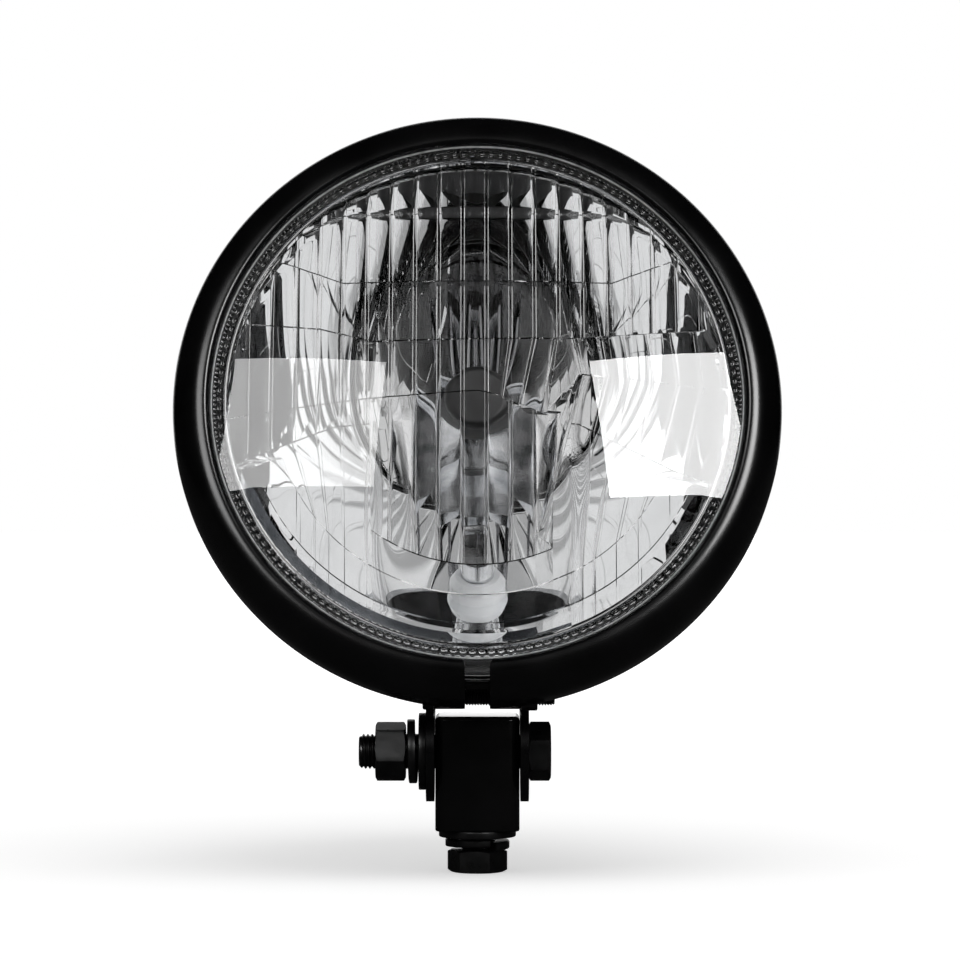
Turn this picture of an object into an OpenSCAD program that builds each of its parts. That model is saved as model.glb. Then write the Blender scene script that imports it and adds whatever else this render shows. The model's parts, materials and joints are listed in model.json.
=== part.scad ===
// Round motorcycle headlight with a fluted glass, a split clamp rim and a bottom swivel mount.
// Millimetres. The lamp faces -Y and +Z is up. The origin is the centre of the swivel block's
// underside, on the axis of the mounting bolt.

/* [Rim] */
// Room between the shell's rolled edge and the inside of the rim
rim_room = 3.3; // [2:0.1:6]
// Sheet thickness of the rim
rim_wall = 1.4; // [1:0.1:1.8]
// How far the rim's lip laps over the glass
lip_lap = 2.3; // [1.4:0.1:3.2]
// How far the lip stands in front of the band
lip_rise = 10.7; // [10:0.1:13]
// Width of the straight part of the band
band_w = 5; // [4:0.5:8]
// Width of the gap in the rim at the bottom
rim_gap = 6.6; // [4:0.2:9]
// Width of each clamp lug, along the screw
lug_w = 8.4; // [6:0.2:11]
// Length of each clamp lug, front to back
lug_depth = 6.4; // [5.6:0.2:7]
// Wall of the lugs under the clamp screw
lug_wall = 0.5; // [0.4:0.1:2]

/* [Clamp screw] */
// Diameter of the clamp screw
clamp_d = 4.8; // [3:0.1:5]
// Diameter of the clamp screw's head
clamp_head_d = 7; // [6:0.2:8]
// Height of the clamp screw's head
clamp_head_h = 3; // [2:0.2:4]
// Height of the clamp nut
clamp_nut_h = 4.4; // [3:0.2:5]
// Width across the flats of the clamp nut
clamp_nut_af = 7; // [6:0.2:8]
// How far the clamp screw stands out of its nut
clamp_tail = 4.6; // [1:0.2:8]

/* [Lens] */
// How far the flange stands out past the glass
flange_show = 2; // [1.4:0.1:2.8]
// Gap between the bowl's edge and the inside of the glass skirt
skirt_room = 2.1; // [1.6:0.1:3]
// How far the middle of the glass stands in front of its edge
lens_dome = 9; // [6:0.5:12]
// Thickness of the glass between the flutes
glass_t = 3; // [2.4:0.1:3.4]
// Distance from one flute to the next
flute_pitch = 6.4; // [5:0.2:8]
// Depth of a flute
flute_deep = 0.9; // [0.4:0.1:1.3]
// How far the flutes' pattern sits left of the middle
flute_shift = 0.76; // [0:0.1:2]
// Depth of the step where a prism band meets the next
band_step = 0.8; // [0.3:0.1:1]
// Distance from the skirt in to the first ring band at the bottom
ring_a_in = 22.9; // [20:0.1:26]
// Distance from the skirt in to the second ring band
ring_b_in = 15.1; // [12:0.1:17]
// Distance from the skirt in to the third ring band
ring_c_in = 7.6; // [5:0.1:9]

/* [Reflector] */
// Focal length of the bowl
focal = 23.2; // [22:0.1:24]
// Radius of the bowl's front edge, which the glass, flange, shell and rim follow
bowl_r = 67.5; // [58:0.5:80]
// Radius of the hole for the main bulb
seat_r = 20.4; // [18:0.2:22]
// How far the bowl's edge stands in front of its flange
bowl_step = 2; // [1:0.1:3]
// Sheet thickness of the bowl, measured along its axis
bowl_t = 1.4; // [1:0.1:1.8]
// Width of the flange that the glass sits on
flange_w = 8.5; // [7.5:0.1:10]
// Thickness of the flange
flange_t = 1; // [0.8:0.1:1.4]
// Thickness of the seal under the glass
seal_t = 1; // [0.6:0.1:1.6]

/* [Main bulb] */
// Radius of the bulb's glass
bulb_r = 8.6; // [7:0.1:9.5]
// Gap between the bulb's tip and the back of the glass
bulb_gap = 4.7; // [2:0.1:12]
// Wall of the bulb's glass
bulb_wall = 1; // [0.8:0.1:1.4]
// How far the bulb's metal flange laps over the edge of its hole
bulb_lap = 1.1; // [0.6:0.1:2]
// Length of the insulating foot behind the flange
foot_len = 16; // [12:0.5:20]
// Length of the blades behind the foot
blade_len = 8; // [6:0.5:9]

/* [Parking light] */
// Distance from the bowl's edge in to the middle of the parking light
park_inset = 20.5; // [18:0.5:24]
// Radius of the parking light's holder
holder_r = 7.8; // [6.5:0.1:8.5]
// How far the holder stands into the bowl
holder_in = 5; // [3:0.2:6]
// Length of the holder behind the bowl
holder_back = 13; // [10:0.5:14]
// Radius of the small bulb
park_bulb_r = 4.4; // [3.5:0.1:5]
// How far the small bulb stands into the bowl
park_bulb_in = 21.4; // [18:0.2:24]
// Length of the small bulb's glass in front of its cap
park_glass = 11; // [9:0.2:13]

/* [Shell] */
// Room behind the main bulb's blades, for their plug
plug_room = 20.7; // [15:0.5:40]
// Sheet thickness of the shell
shell_wall = 1.2; // [1:0.1:1.6]
// Radius of the rolled edge's section
bead_r = 1.8; // [1.5:0.1:1.9]
// Fullness of the bowl: larger is fuller
shell_full = 1.512; // [1.4:0.01:2]

/* [Swivel mount] */
// Angle that the lamp points up
head_tilt = 15; // [0:1:25]
// Height of the pivot over the block's underside
pivot_rise = 21; // [20:0.5:24]
// Height of the block over the pivot
block_top = 10; // [8:0.5:10.5]
// Width of the block between the ears
block_w = 22.7; // [20:0.1:26]
// Front to back length of the block
block_d = 20; // [16:0.5:20]
// Radius of the block's upright edges
block_edge = 3; // [1:0.5:4]
// Gap between the block's top and the bracket's saddle, at no tilt
saddle_gap = 2.05; // [0.6:0.05:4]
// How far the rim stands in front of the pivot, at no tilt
rim_forward = 25; // [23:0.5:27]
// Sheet thickness of the bracket
bracket_t = 2.25; // [2:0.05:2.4]
// Gap between each ear and the block
ear_gap = 0.3; // [0.2:0.05:0.5]
// Radius of the ears' round ends
ear_r = 13.6; // [12:0.1:15]
// Length of the bracket's saddle in front of the pivot
saddle_front = 10.5; // [9:0.5:11]
// Length of the bracket's saddle behind the pivot
saddle_back = 22; // [18:0.5:26]

/* [Fasteners] */
// Diameter of the two large bolts
bolt_d = 9.5; // [8:0.1:10]
// Width across the flats of their heads and nut
hex_af = 14.3; // [13:0.1:17]
// Height of the bolt heads
head_h = 6; // [5:0.1:7]
// Height of the cross nut
nut_h = 8.2; // [6:0.1:9]
// How far the cross bolt stands out of its nut
bolt_tail = 4.5; // [1:0.1:8]
// Outer diameter of the flat washers
washer_d = 20.9; // [18:0.1:22]
// Thickness of the flat washers
washer_t = 2; // [1.2:0.1:2.4]
// Outer diameter of the spring washers
spring_d = 17.4; // [16:0.1:19]
// Section height of the spring washers
spring_h = 2.2; // [1.6:0.1:3]
// How far the ends of a spring washer stand apart
spring_rise = 1.1; // [0.4:0.1:1.6]
// How far the mounting bolt reaches into the block
bolt_in = 13; // [8:0.5:14]

/* [Hidden] */

$fn = 96;

// Clearances between pieces that fit together
slip = 0.1;
pin_play = 0.05;
tiny = 0.01;

// Radii, from the bowl outwards
flange_r = bowl_r + flange_w;
lens_r = flange_r - flange_show;
optic_r = bowl_r + skirt_room;
lip_r = lens_r - lip_lap;
bead_mid = flange_r;
shell_r = bead_mid - bead_r + shell_wall;
rim_r = bead_mid + bead_r + rim_room + rim_wall;
ring_a = optic_r - ring_a_in;
ring_b = optic_r - ring_b_in;
ring_c = optic_r - ring_c_in;
park_r = bowl_r - park_inset;

// Longer than anything that a hole passes through
through = 2 * rim_r;

// Places along the lamp axis, from the rim's middle plane, forward positive
band_front = band_w / 2 - 1;
lip_face = band_front + lip_rise;
glass_edge = lip_face - rim_wall - 0.4;
bead_z = -1.2;
flange_rear = bead_z + bead_r;
flange_front = flange_rear + flange_t;
skirt_rear = flange_front + seal_t;
rear_lip_front = bead_z - bead_r - 0.3;
rear_lip_rear = rear_lip_front - rim_wall;

// Bowl on a parabola, and the places of the main bulb behind it
bowl_apex = flange_front + bowl_step - bowl_r * bowl_r / (4 * focal);
function bowl_z(r) = bowl_apex + r * r / (4 * focal);
bulb_flange_t = 1.2;
seat_depth = 5;
seat_z = bowl_z(seat_r) - seat_depth;
foot_front = seat_z - slip - bulb_flange_t;
foot_rear = foot_front - foot_len;
shell_back = plug_room + blade_len - foot_rear;
bulb_flange_r = seat_r + bulb_lap;
bulb_len = glass_edge + lens_dome - glass_t - flute_deep - band_step - bulb_gap - seat_z;

// Clamp screw
clamp_r = clamp_d / 2;
clamp_axis_r = shell_r + slip + clamp_r;
lug_mid_z = rear_lip_rear - clamp_nut_af / 2 / cos(30) - slip;
lug_inner_r = shell_r + 0.5;
lug_reach = clamp_axis_r + clamp_r + lug_wall;

// Height of the lamp axis over the pivot, at no tilt
lamp_rise = block_top + saddle_gap + bracket_t + shell_r;

// Hardware
bolt_r = bolt_d / 2;
ear_in = block_w / 2 + ear_gap;
ear_out = ear_in + bracket_t;
saddle_t = bracket_t;

function ease(a, b, t) = a + (b - a) * t;
function polar(r, a) = [r * cos(a), r * sin(a)];
function arc(c, r, from, to, n) = [for (i = [0:n]) c + polar(r, from + (to - from) * i / n)];

// Shell's outline, as radius and place along the axis at an angle of its bowl
function bowl_point(a, r, depth) = [r * cos(a), bead_z - depth * pow(sin(a), 2 / shell_full)];
function shell_angle(z) = asin(pow((bead_z - z) / (shell_back + bead_z), shell_full / 2));
function shell_radius(z) = shell_r * cos(shell_angle(z));
function shell_slope(z) = atan((shell_radius(z + 0.5) - shell_radius(z - 0.5)));
shell_depth = shell_back + bead_z;

// Point (x right, y up, z forward) of the lamp's own frame into the part's frame
module in_head() translate([0, 0, pivot_rise]) rotate([-head_tilt, 0, 0]) children();
module in_lamp() in_head() translate([0, -rim_forward, lamp_rise]) rotate([90, 0, 0]) children();
module across() rotate([0, 90, 0]) children();

module hex(af, h, chamfer) {
    corner_r = af / 2 / cos(30);
    intersection() {
        cylinder(r = corner_r, h = h, $fn = 6);
        rotate_extrude() polygon([
            [0, 0], [corner_r - chamfer, 0], [corner_r + tiny, chamfer * 0.58],
            [corner_r + tiny, h - chamfer * 0.58], [corner_r - chamfer, h], [0, h]
        ]);
    }
}

module ring(r_out, r_in, h) difference() {
    cylinder(r = r_out, h = h);
    translate([0, 0, -1]) cylinder(r = r_in, h = h + 2);
}

// Shank with a chamfered end
module shank(r, length, chamfer) rotate_extrude() polygon([
    [0, 0], [r, 0], [r, length - chamfer], [r - chamfer, length], [0, length]
]);

// Open spring washer: a square section carried along one turn of a helix
module spring_washer(r_out, r_in, h, rise, start = 6) {
    steps = 40;
    corners = [[r_in, 0], [r_out, 0], [r_out, h], [r_in, h]];
    points = [
        for (i = [0:steps], c = corners)
            let (a = start + (360 - 2 * start) * i / steps)
            [c[0] * cos(a), c[0] * sin(a), c[1] + rise * i / steps]
    ];
    sides = [
        for (i = [0:steps - 1], k = [0:3])
            [4 * i + k, 4 * i + (k + 1) % 4, 4 * i + 4 + (k + 1) % 4, 4 * i + 4 + k]
    ];
    ends = [[3, 2, 1, 0], [for (k = [0:3]) 4 * steps + k]];
    polyhedron(points, concat(ends, sides), convexity = 4);
}

// Shell
module shell_profile() {
    steps = 26;
    outer = [for (i = [1:steps]) bowl_point(90 * i / steps, shell_r, shell_depth)];
    inner = [
        for (i = [0:steps - 1])
            bowl_point(90 - 90 * i / steps, shell_r - shell_wall, shell_depth - shell_wall)
    ];
    bead = arc([bead_mid, bead_z], bead_r, 180, -acos((shell_wall - bead_r) / bead_r), 16);
    polygon(concat(outer, inner, bead));
}

// Place on the shell's outline where the cable leaves, and the outward direction there
grommet_a = 60;
grommet_at = bowl_point(grommet_a, shell_r - shell_wall / 2, shell_depth - shell_wall / 2);
grommet_dir = atan2(
    shell_r * sin(grommet_a),
    shell_depth * 2 / shell_full * pow(sin(grommet_a), 2 / shell_full - 1) * cos(grommet_a)
);
grommet_hole_r = 5.5;
cable_r = 3;
grommet_len = 7;

module at_grommet() translate([0, -grommet_at[0], grommet_at[1]]) rotate([90 + grommet_dir, 0, 0]) children();

// Rivets of the bracket, square to the shell: distance from the middle and place along the axis
rivet_x = 6.5;
rivet_z = [-rim_forward + saddle_front - 4.5, -rim_forward - saddle_back + 5];
rivet_r = 2.2;
module at_rivet(side, z) rotate(side * asin(rivet_x / shell_radius(z)))
    translate([0, -shell_radius(z), z]) rotate([90 + shell_slope(z), 0, 0]) children();
module rivet_holes() for (z = rivet_z, side = [-1, 1]) at_rivet(side, z)
    cylinder(r = rivet_r + slip, h = 6 * shell_wall, center = true);

module shell() color("#101012") in_lamp() difference() {
    rotate_extrude() shell_profile();
    at_grommet() cylinder(r = grommet_hole_r, h = 2 * grommet_len, center = true);
    rivet_holes();
}

module cable_grommet() color("#161616") in_lamp() at_grommet() rotate_extrude() polygon([
    [cable_r, -grommet_len / 2], [grommet_hole_r + 1.6, -grommet_len / 2],
    [grommet_hole_r + 2, -grommet_len / 2 + 0.6], [grommet_hole_r + 2, -shell_wall / 2 - 0.5],
    [grommet_hole_r - slip, -shell_wall / 2 - 0.5], [grommet_hole_r - slip, shell_wall / 2 + 0.5],
    [grommet_hole_r + 2, shell_wall / 2 + 0.5], [grommet_hole_r + 1.4, shell_wall / 2 + 1.6],
    [cable_r + 1.2, grommet_len / 2], [cable_r, grommet_len / 2]
]);

// Bracket: a saddle that follows the shell, with an ear down each side of the block
module inside_shell(grow, front, back) {
    steps = 16;
    z0 = -rim_forward + front;
    z1 = -rim_forward - back;
    rotate_extrude() polygon(concat(
        [for (i = [0:steps]) let (z = ease(z0, z1, i / steps)) [shell_radius(z) + grow, z]],
        [[0, z1], [0, z0]]
    ));
}

module ear_outline() {
    top = lamp_rise - shell_radius(-rim_forward - saddle_back) + 8;
    lean = 32;
    difference() {
        union() {
            circle(r = ear_r);
            polygon(concat(
                [polar(ear_r, -lean), polar(ear_r, lean), [saddle_front, top], [-saddle_back, top]],
                [[-saddle_back, top - 12]],
                [polar(ear_r, 180 + lean)]
            ));
        }
        circle(r = bolt_r + slip);
    }
}

module mount_bracket() color("#101012") difference() {
    union() {
        in_lamp() intersection() {
            inside_shell(saddle_t, saddle_front, saddle_back);
            translate([-ear_out, -rim_r, -rim_r]) cube([2 * ear_out, rim_r / 2, rim_r]);
        }
        in_head() for (side = [-1, 1])
            translate([side * (ear_in + ear_out) / 2, 0, 0]) rotate([90, 0, -90])
                linear_extrude(bracket_t, center = true) ear_outline();
    }
    in_lamp() inside_shell(pin_play, saddle_front + 4, saddle_back + 4);
    in_lamp() rivet_holes();
}

// Rivets: flush outside, with a round head inside the shell
module bracket_rivets() color("#1a1a1c") in_lamp() for (z = rivet_z, side = [-1, 1]) at_rivet(side, z) {
    head_at = -shell_wall - 0.35;
    head_t = 1.6;
    translate([0, 0, head_at - tiny]) cylinder(r = rivet_r, h = saddle_t * cos(shell_slope(z)) - head_at);
    translate([0, 0, head_at - head_t]) cylinder(r1 = rivet_r + 0.4, r2 = rivet_r + 1.6, h = head_t);
}

// Rim: a C section with a rolled front lip and a rear lip behind the shell's bead
module rim_profile() {
    steps = 14;
    face_r = lip_r + 1.8;
    a = rim_r - face_r;
    b = lip_face - band_front;
    inner = [
        for (i = [0:steps]) let (t = 90 * i / steps)
            [face_r + (a - rim_wall) * cos(t), band_front + (b - rim_wall) * sin(t)]
    ];
    outer = [
        for (i = [0:steps]) let (t = 90 - 90 * i / steps)
            [face_r + a * cos(t), band_front + b * sin(t)]
    ];
    roll = arc([face_r, lip_face - 1.8], 1.8, 180, 90, 6);
    corner = arc([rim_r - 2, rear_lip_rear + 2], 2, 0, -90, 5);
    polygon(concat(
        corner,
        [[shell_r + 0.45, rear_lip_rear], [shell_r + 0.45, rear_lip_front]],
        [[rim_r - rim_wall - 0.6, rear_lip_front], [rim_r - rim_wall, rear_lip_front + 0.6]],
        inner,
        [[lip_r + 0.9, lip_face - rim_wall - 0.3]],
        roll,
        outer
    ));
}

module clamp_lug(side) translate([side * rim_gap / 2, 0, 0]) mirror([side < 0 ? 1 : 0, 0, 0])
    translate([0, -lug_reach, lug_mid_z - lug_depth / 2])
        cube([lug_w, lug_reach - lug_inner_r, rear_lip_rear + rim_wall / 2 - lug_mid_z + lug_depth / 2]);

module at_clamp() translate([0, -clamp_axis_r, lug_mid_z]) across() children();

module rim() color("#08080a") in_lamp() difference() {
    union() {
        rotate_extrude() rim_profile();
        for (side = [-1, 1]) clamp_lug(side);
    }
    translate([-rim_gap / 2, -rim_r - 2, lug_mid_z - lug_depth])
        cube([rim_gap, rim_r - lip_r + 6, lip_face - lug_mid_z + 2 * lug_depth]);
    at_clamp() cylinder(r = clamp_r + slip, h = through, center = true);
}

lug_out = rim_gap / 2 + lug_w;
slot_w = 1.2;
slot_deep = 1.4;
module rim_screw() color("#2a2a2c") in_lamp() at_clamp() {
    translate([0, 0, -lug_out]) shank(clamp_r, 2 * lug_out + clamp_nut_h + clamp_tail, clamp_r / 5);
    translate([0, 0, -lug_out - clamp_head_h]) difference() {
        cylinder(d = clamp_head_d, h = clamp_head_h);
        translate([-clamp_head_d, -slot_w / 2, -slot_deep]) cube([2 * clamp_head_d, slot_w, 2 * slot_deep]);
    }
}

module rim_nut() color("#2a2a2c") in_lamp() at_clamp() translate([0, 0, lug_out]) difference() {
    hex(clamp_nut_af, clamp_nut_h, 0.5);
    translate([0, 0, -1]) cylinder(r = clamp_r + pin_play, h = clamp_nut_h + 2);
}

// Lens: the front is a dome, and the back carries flutes between stepped bands
dome_r = (lip_r * lip_r + lens_dome * lens_dome) / (2 * lens_dome);
function dome(r) = glass_edge + sqrt(dome_r * dome_r - r * r) - sqrt(dome_r * dome_r - lip_r * lip_r);

// Borders between the bands, from the top, as heights over the lamp axis at a place x. The
// sloping ones are drawn for a skirt of this radius, and follow the glass from there.
drawn_r = 69.6;
function drawn(x, line) = lookup(x * drawn_r / optic_r, line) * optic_r / drawn_r;
function below_ring(r, x) = abs(x) < r ? -sqrt(r * r - x * x) : 0;
function border(i, x) =
    i == 0 ? drawn(x, [[-70, 8], [-55, 43], [-36, 51], [36, 51], [55, 43], [70, 8]])
    : i == 1 ? drawn(x, [[-70, 6], [-55, 39], [-36, 31], [36, 31], [54, 39], [70, 6]])
    : i == 2 ? drawn(x, [[-70, 4], [-63, 20.7], [-42, 18], [-28, 14], [27, 14.8], [62, 18.5], [70, 4]])
    : i == 3 ? drawn(x, [[-70, -6], [-31, -2], [0, 0], [29, 4.8], [70, 1.8]])
    : i == 4 ? min(drawn(x, [[-70, -20], [-38, -9.5], [-30, -9]]),
        abs(x) < 0.73 * ring_a ? below_ring(ring_a, x) : drawn(x, [[34, -13], [50, -20], [70, -24]]))
    : i == 5 ? below_ring(ring_b, x)
    : below_ring(ring_c, x);
borders = 7;
band_rows = 3;
row_gap = 0.004;
step_half = 0.4;

// Rows of one column: 0 at the top edge and 1 at the bottom edge
function clamp_row(t, k) = max((2 * k + 1) * row_gap, min(1 - (2 * (borders - k) + 1) * row_gap, t));
function raw_row(x, y_edge, i) = (y_edge - border(i, x)) / (2 * y_edge);
function rising(list, k, last) = k == len(list) ? []
    : let (now = max(list[k], last + row_gap)) concat([now], rising(list, k + 1, now + row_gap));
function border_rows(x, y_edge) =
    rising([for (i = [0:borders - 1]) clamp_row(raw_row(x, y_edge, i), i)], 0, 0);
function column_rows(x, y_edge) = let (
    b = border_rows(x, y_edge),
    d = min(step_half / (2 * y_edge), row_gap * 0.4)
) [
    for (k = [0:borders])
        let (
            from = k == 0 ? 0 : b[k - 1] + d,
            to = k == borders ? 1 : b[k] - d
        )
        for (j = [0:band_rows]) [ease(from, to, j / band_rows), k, j / band_rows]
];

// How far the back of the glass stands behind the plain wall
band_amount = [0.5, 1, 1, 0.9, 0.8, 0.25, 0.2, 0.1];
function flute_wave(x) = let (u = (x + flute_shift) / flute_pitch + 0.5, f = u - floor(u))
    1 - pow(2 * f - 1, 2);
function back_depth(x, row) = glass_t + flute_deep * band_amount[row[1]] * flute_wave(x)
    + band_step * row[2] * (row[1] % 2 == 0 ? 0.5 : 1);

flute_parts = 4;
flute_count = floor((optic_r - 4) / flute_pitch);
flute_xs = [
    for (i = [-flute_count * flute_parts:flute_count * flute_parts])
        flute_pitch * (i / flute_parts + 0.5) - flute_shift
];
edge_xs = [for (a = [15, 8]) optic_r * cos(a)];
lens_xs = concat(
    [for (i = [1:-1:0]) -edge_xs[i]],
    [for (x = flute_xs) if (abs(x) < edge_xs[0] - 0.8) x],
    edge_xs
);
lens_cols = len(lens_xs);
lens_rows = (borders + 1) * (band_rows + 1);

module lens() color("#dfe6ea", 0.35) in_lamp() {
    grid = [
        for (x = lens_xs)
            let (y_edge = sqrt(optic_r * optic_r - x * x))
            for (row = column_rows(x, y_edge))
                let (y = y_edge * (1 - 2 * row[0]))
                [x, y, dome(norm([x, y])) - back_depth(x, row)]
    ];
    left = [-optic_r, 0, dome(optic_r) - glass_t];
    right = [optic_r, 0, dome(optic_r) - glass_t];
    edge_ids = concat(
        [lens_cols * lens_rows],
        [for (i = [0:lens_cols - 1]) i * lens_rows],
        [lens_cols * lens_rows + 1],
        [for (i = [lens_cols - 1:-1:0]) i * lens_rows + lens_rows - 1]
    );
    back = concat(grid, [left, right]);
    n = len(edge_ids);
    angles = [for (id = edge_ids) atan2(back[id][1], back[id][0])];
    // Rings from the back grid's edge down the skirt, round it and over the front
    skirt = [
        [optic_r + 0.4, skirt_rear], [lens_r, skirt_rear], [lens_r, glass_edge - 0.8],
        [lens_r - 0.5, dome(lens_r) - 0.2], [lip_r, dome(lip_r)]
    ];
    front = [for (k = [5:-1:1]) [lip_r * k / 6, dome(lip_r * k / 6)]];
    rings = concat(skirt, front);
    ring_points = [for (ring = rings, a = angles) [ring[0] * cos(a), ring[0] * sin(a), ring[1]]];
    base = len(back);
    tip = base + len(rings) * n;
    points = concat(back, ring_points, [[0, 0, dome(0)]]);
    grid_faces = [
        for (i = [0:lens_cols - 2], j = [0:lens_rows - 2])
            let (a = i * lens_rows + j, b = a + lens_rows)
            each [[a, b, b + 1], [a, b + 1, a + 1]]
    ];
    end_faces = [
        for (j = [0:lens_rows - 2])
            let (k = (lens_cols - 1) * lens_rows + j)
            each [[lens_cols * lens_rows, j, j + 1], [lens_cols * lens_rows + 1, k + 1, k]]
    ];
    join_faces = [
        for (i = [0:n - 1])
            let (j = (i + 1) % n)
            each [[edge_ids[i], base + i, base + j], [edge_ids[i], base + j, edge_ids[j]]]
    ];
    ring_faces = [
        for (k = [0:len(rings) - 2], i = [0:n - 1])
            let (j = (i + 1) % n, a = base + k * n, b = a + n)
            each [[a + i, b + i, b + j], [a + i, b + j, a + j]]
    ];
    tip_faces = [
        for (i = [0:n - 1])
            let (j = (i + 1) % n, a = base + (len(rings) - 1) * n)
            [a + i, tip, a + j]
    ];
    polyhedron(points, concat(grid_faces, end_faces, join_faces, ring_faces, tip_faces), convexity = 6);
}

module lens_seal() color("#1c1c1c") in_lamp() translate([0, 0, flange_front])
    ring(lens_r - 0.2, bowl_r + 2.2, seal_t);

// Reflector: the bowl, with a step and a flange in front
park_z = bowl_z(park_r);
park_lean = atan(park_r / (2 * focal));
module at_park() translate([0, -park_r, park_z]) rotate([-park_lean, 0, 0]) children();

module reflector() color("#d8dadd") in_lamp() difference() {
    steps = 22;
    rotate_extrude() polygon(concat(
        [for (i = [0:steps]) let (r = ease(seat_r, bowl_r, i / steps)) [r, bowl_z(r)]],
        [[bowl_r + 1.3, bowl_z(bowl_r)], [bowl_r + 1.3, flange_front], [flange_r, flange_front]],
        [[flange_r, flange_rear], [bowl_r, flange_rear]],
        [for (i = [1:steps]) let (r = ease(bowl_r, seat_r, i / steps)) [r, bowl_z(r) - bowl_t]]
    ));
    at_park() cylinder(r = holder_r + slip, h = 2 * holder_in, center = true);
}

// Ring behind the bowl that the main bulb seats on
module bulb_holder_ring() color("#b9bcc0") in_lamp() rotate_extrude() {
    top = bowl_z(seat_r) - bowl_t - tiny;
    plate = 1.4;
    polygon([
        [seat_r - 0.9, seat_z], [seat_r + 4.6, seat_z], [seat_r + 4.6, seat_z + plate],
        [seat_r + 1.6, seat_z + plate], [seat_r + 1, top], [seat_r - 0.9, top]
    ]);
}

// Main bulb. Places along it are distances in front of its seat.
socket_floor = 4.4;
socket_front = 12;
main_at = 21;
dipped_at = 29.6;
filament_len = 6;
filament_y = 1.2;
module bulb_glass() color("#e8eef2", 0.4) in_lamp() translate([0, 0, seat_z]) rotate_extrude() {
    base = socket_floor + 0.8;
    neck = 9;
    steps = 8;
    inner_r = bulb_r - bulb_wall;
    polygon(concat(
        [[bulb_r - 2.2, base], [bulb_r - 1.2, neck], [bulb_r, neck + 5]],
        [for (i = [0:steps]) let (a = 90 * i / steps)
            [(bulb_r - 2) + 2 * cos(a), bulb_len - 2 + 2 * sin(a)]],
        [[0, bulb_len], [0, bulb_len - bulb_wall]],
        [for (i = [steps:-1:0]) let (a = 90 * i / steps)
            [(inner_r - 1.4) + 1.4 * cos(a), bulb_len - bulb_wall - 1.4 + 1.4 * sin(a)]],
        [[inner_r, neck + 5], [inner_r - 1.2, neck], [inner_r - 2.2, base]]
    ));
}

// Shield under the dipped filament, on its own support
module bulb_shield() color("#9a9da1") in_lamp() translate([0, 0, seat_z]) {
    shield_r = 3.4;
    shield_at = dipped_at - 1;
    shield_len = filament_len + 3;
    translate([0, filament_y, shield_at]) difference() {
        cylinder(r = shield_r, h = shield_len, $fn = 32);
        translate([0, 0, 0.6]) cylinder(r = shield_r - 0.5, h = shield_len - 1.2, $fn = 32);
        translate([-shield_r - 1, -0.4, -1]) cube([2 * shield_r + 2, 5, shield_len + 2]);
    }
    translate([-0.5, filament_y - shield_r, socket_floor]) cube([1, 0.8, shield_at + 0.6 - socket_floor]);
}

module bulb_filaments() color("#7c7f84") in_lamp() translate([0, filament_y, seat_z]) {
    coil_r = 0.7;
    wire = 0.35;
    post_x = 1.6;
    post_top = dipped_at + filament_len - 0.2;
    joint_z = dipped_at - 1.3;
    link_z = main_at + filament_len - slip;
    for (z = [main_at, dipped_at]) translate([0, 0, z]) cylinder(r = coil_r, h = filament_len, $fn = 16);
    for (side = [-1, 1]) translate([side * post_x, 1, socket_floor])
        cylinder(r = wire, h = post_top - socket_floor, $fn = 16);
    for (at = [[coil_r, main_at + 0.4], [1, joint_z], [coil_r, post_top - 0.2]])
        translate([-post_x, at[0], at[1]]) across() cylinder(r = wire, h = 2 * post_x, $fn = 16);
    translate([0, 0, link_z]) cylinder(r = 0.3, h = dipped_at + 2 * slip - link_z, $fn = 16);
}

module bulb_base() color("#c9ccd0") in_lamp() translate([0, 0, seat_z]) {
    difference() {
        union() {
            translate([0, 0, -slip - bulb_flange_t]) cylinder(r = bulb_flange_r, h = bulb_flange_t);
            translate([0, 0, -slip - bulb_flange_t / 2])
                cylinder(r = bulb_r + 1.6, h = socket_front + slip + bulb_flange_t / 2);
        }
        translate([0, 0, socket_floor]) cylinder(r = bulb_r + slip, h = socket_front);
        for (a = [30, 150, 270]) rotate(a) translate([bulb_flange_r + 1.2, 0, -slip - 1.5 * bulb_flange_t])
            cylinder(r = 3, h = 2 * bulb_flange_t);
    }
}

foot_r = 12;
module bulb_insulator() color("#3a3a3c") in_lamp() translate([0, 0, foot_rear])
    rotate_extrude() polygon([
        [0, 0], [foot_r - 1.5, 0], [foot_r - 0.5, 1], [foot_r, foot_len], [0, foot_len]
    ]);

module bulb_terminals() color("#b08d4a") in_lamp() translate([0, 0, foot_rear - blade_len])
    for (spot = [[-5.2, -3, 90], [5.2, -3, 90], [0, 5.6, 0]])
        translate([spot[0], spot[1], blade_len / 2]) rotate(spot[2])
            cube([7.8, 0.8, blade_len], center = true);

// Wire spring that presses the bulb's flange onto its seat
module bulb_clip() color("#b4b8bc") in_lamp() {
    wire_r = 0.7;
    loop_r = bulb_flange_r - 4;
    leg_end = seat_r + 3.9;
    z = foot_front - wire_r - tiny;
    translate([0, 0, z]) rotate(120) rotate_extrude(angle = 300)
        translate([loop_r, 0]) circle(r = wire_r, $fn = 16);
    for (a = [126, 54]) rotate(a) translate([loop_r, 0, z]) across()
        cylinder(r = wire_r - 0.1, h = leg_end - loop_r, $fn = 16);
}

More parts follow.
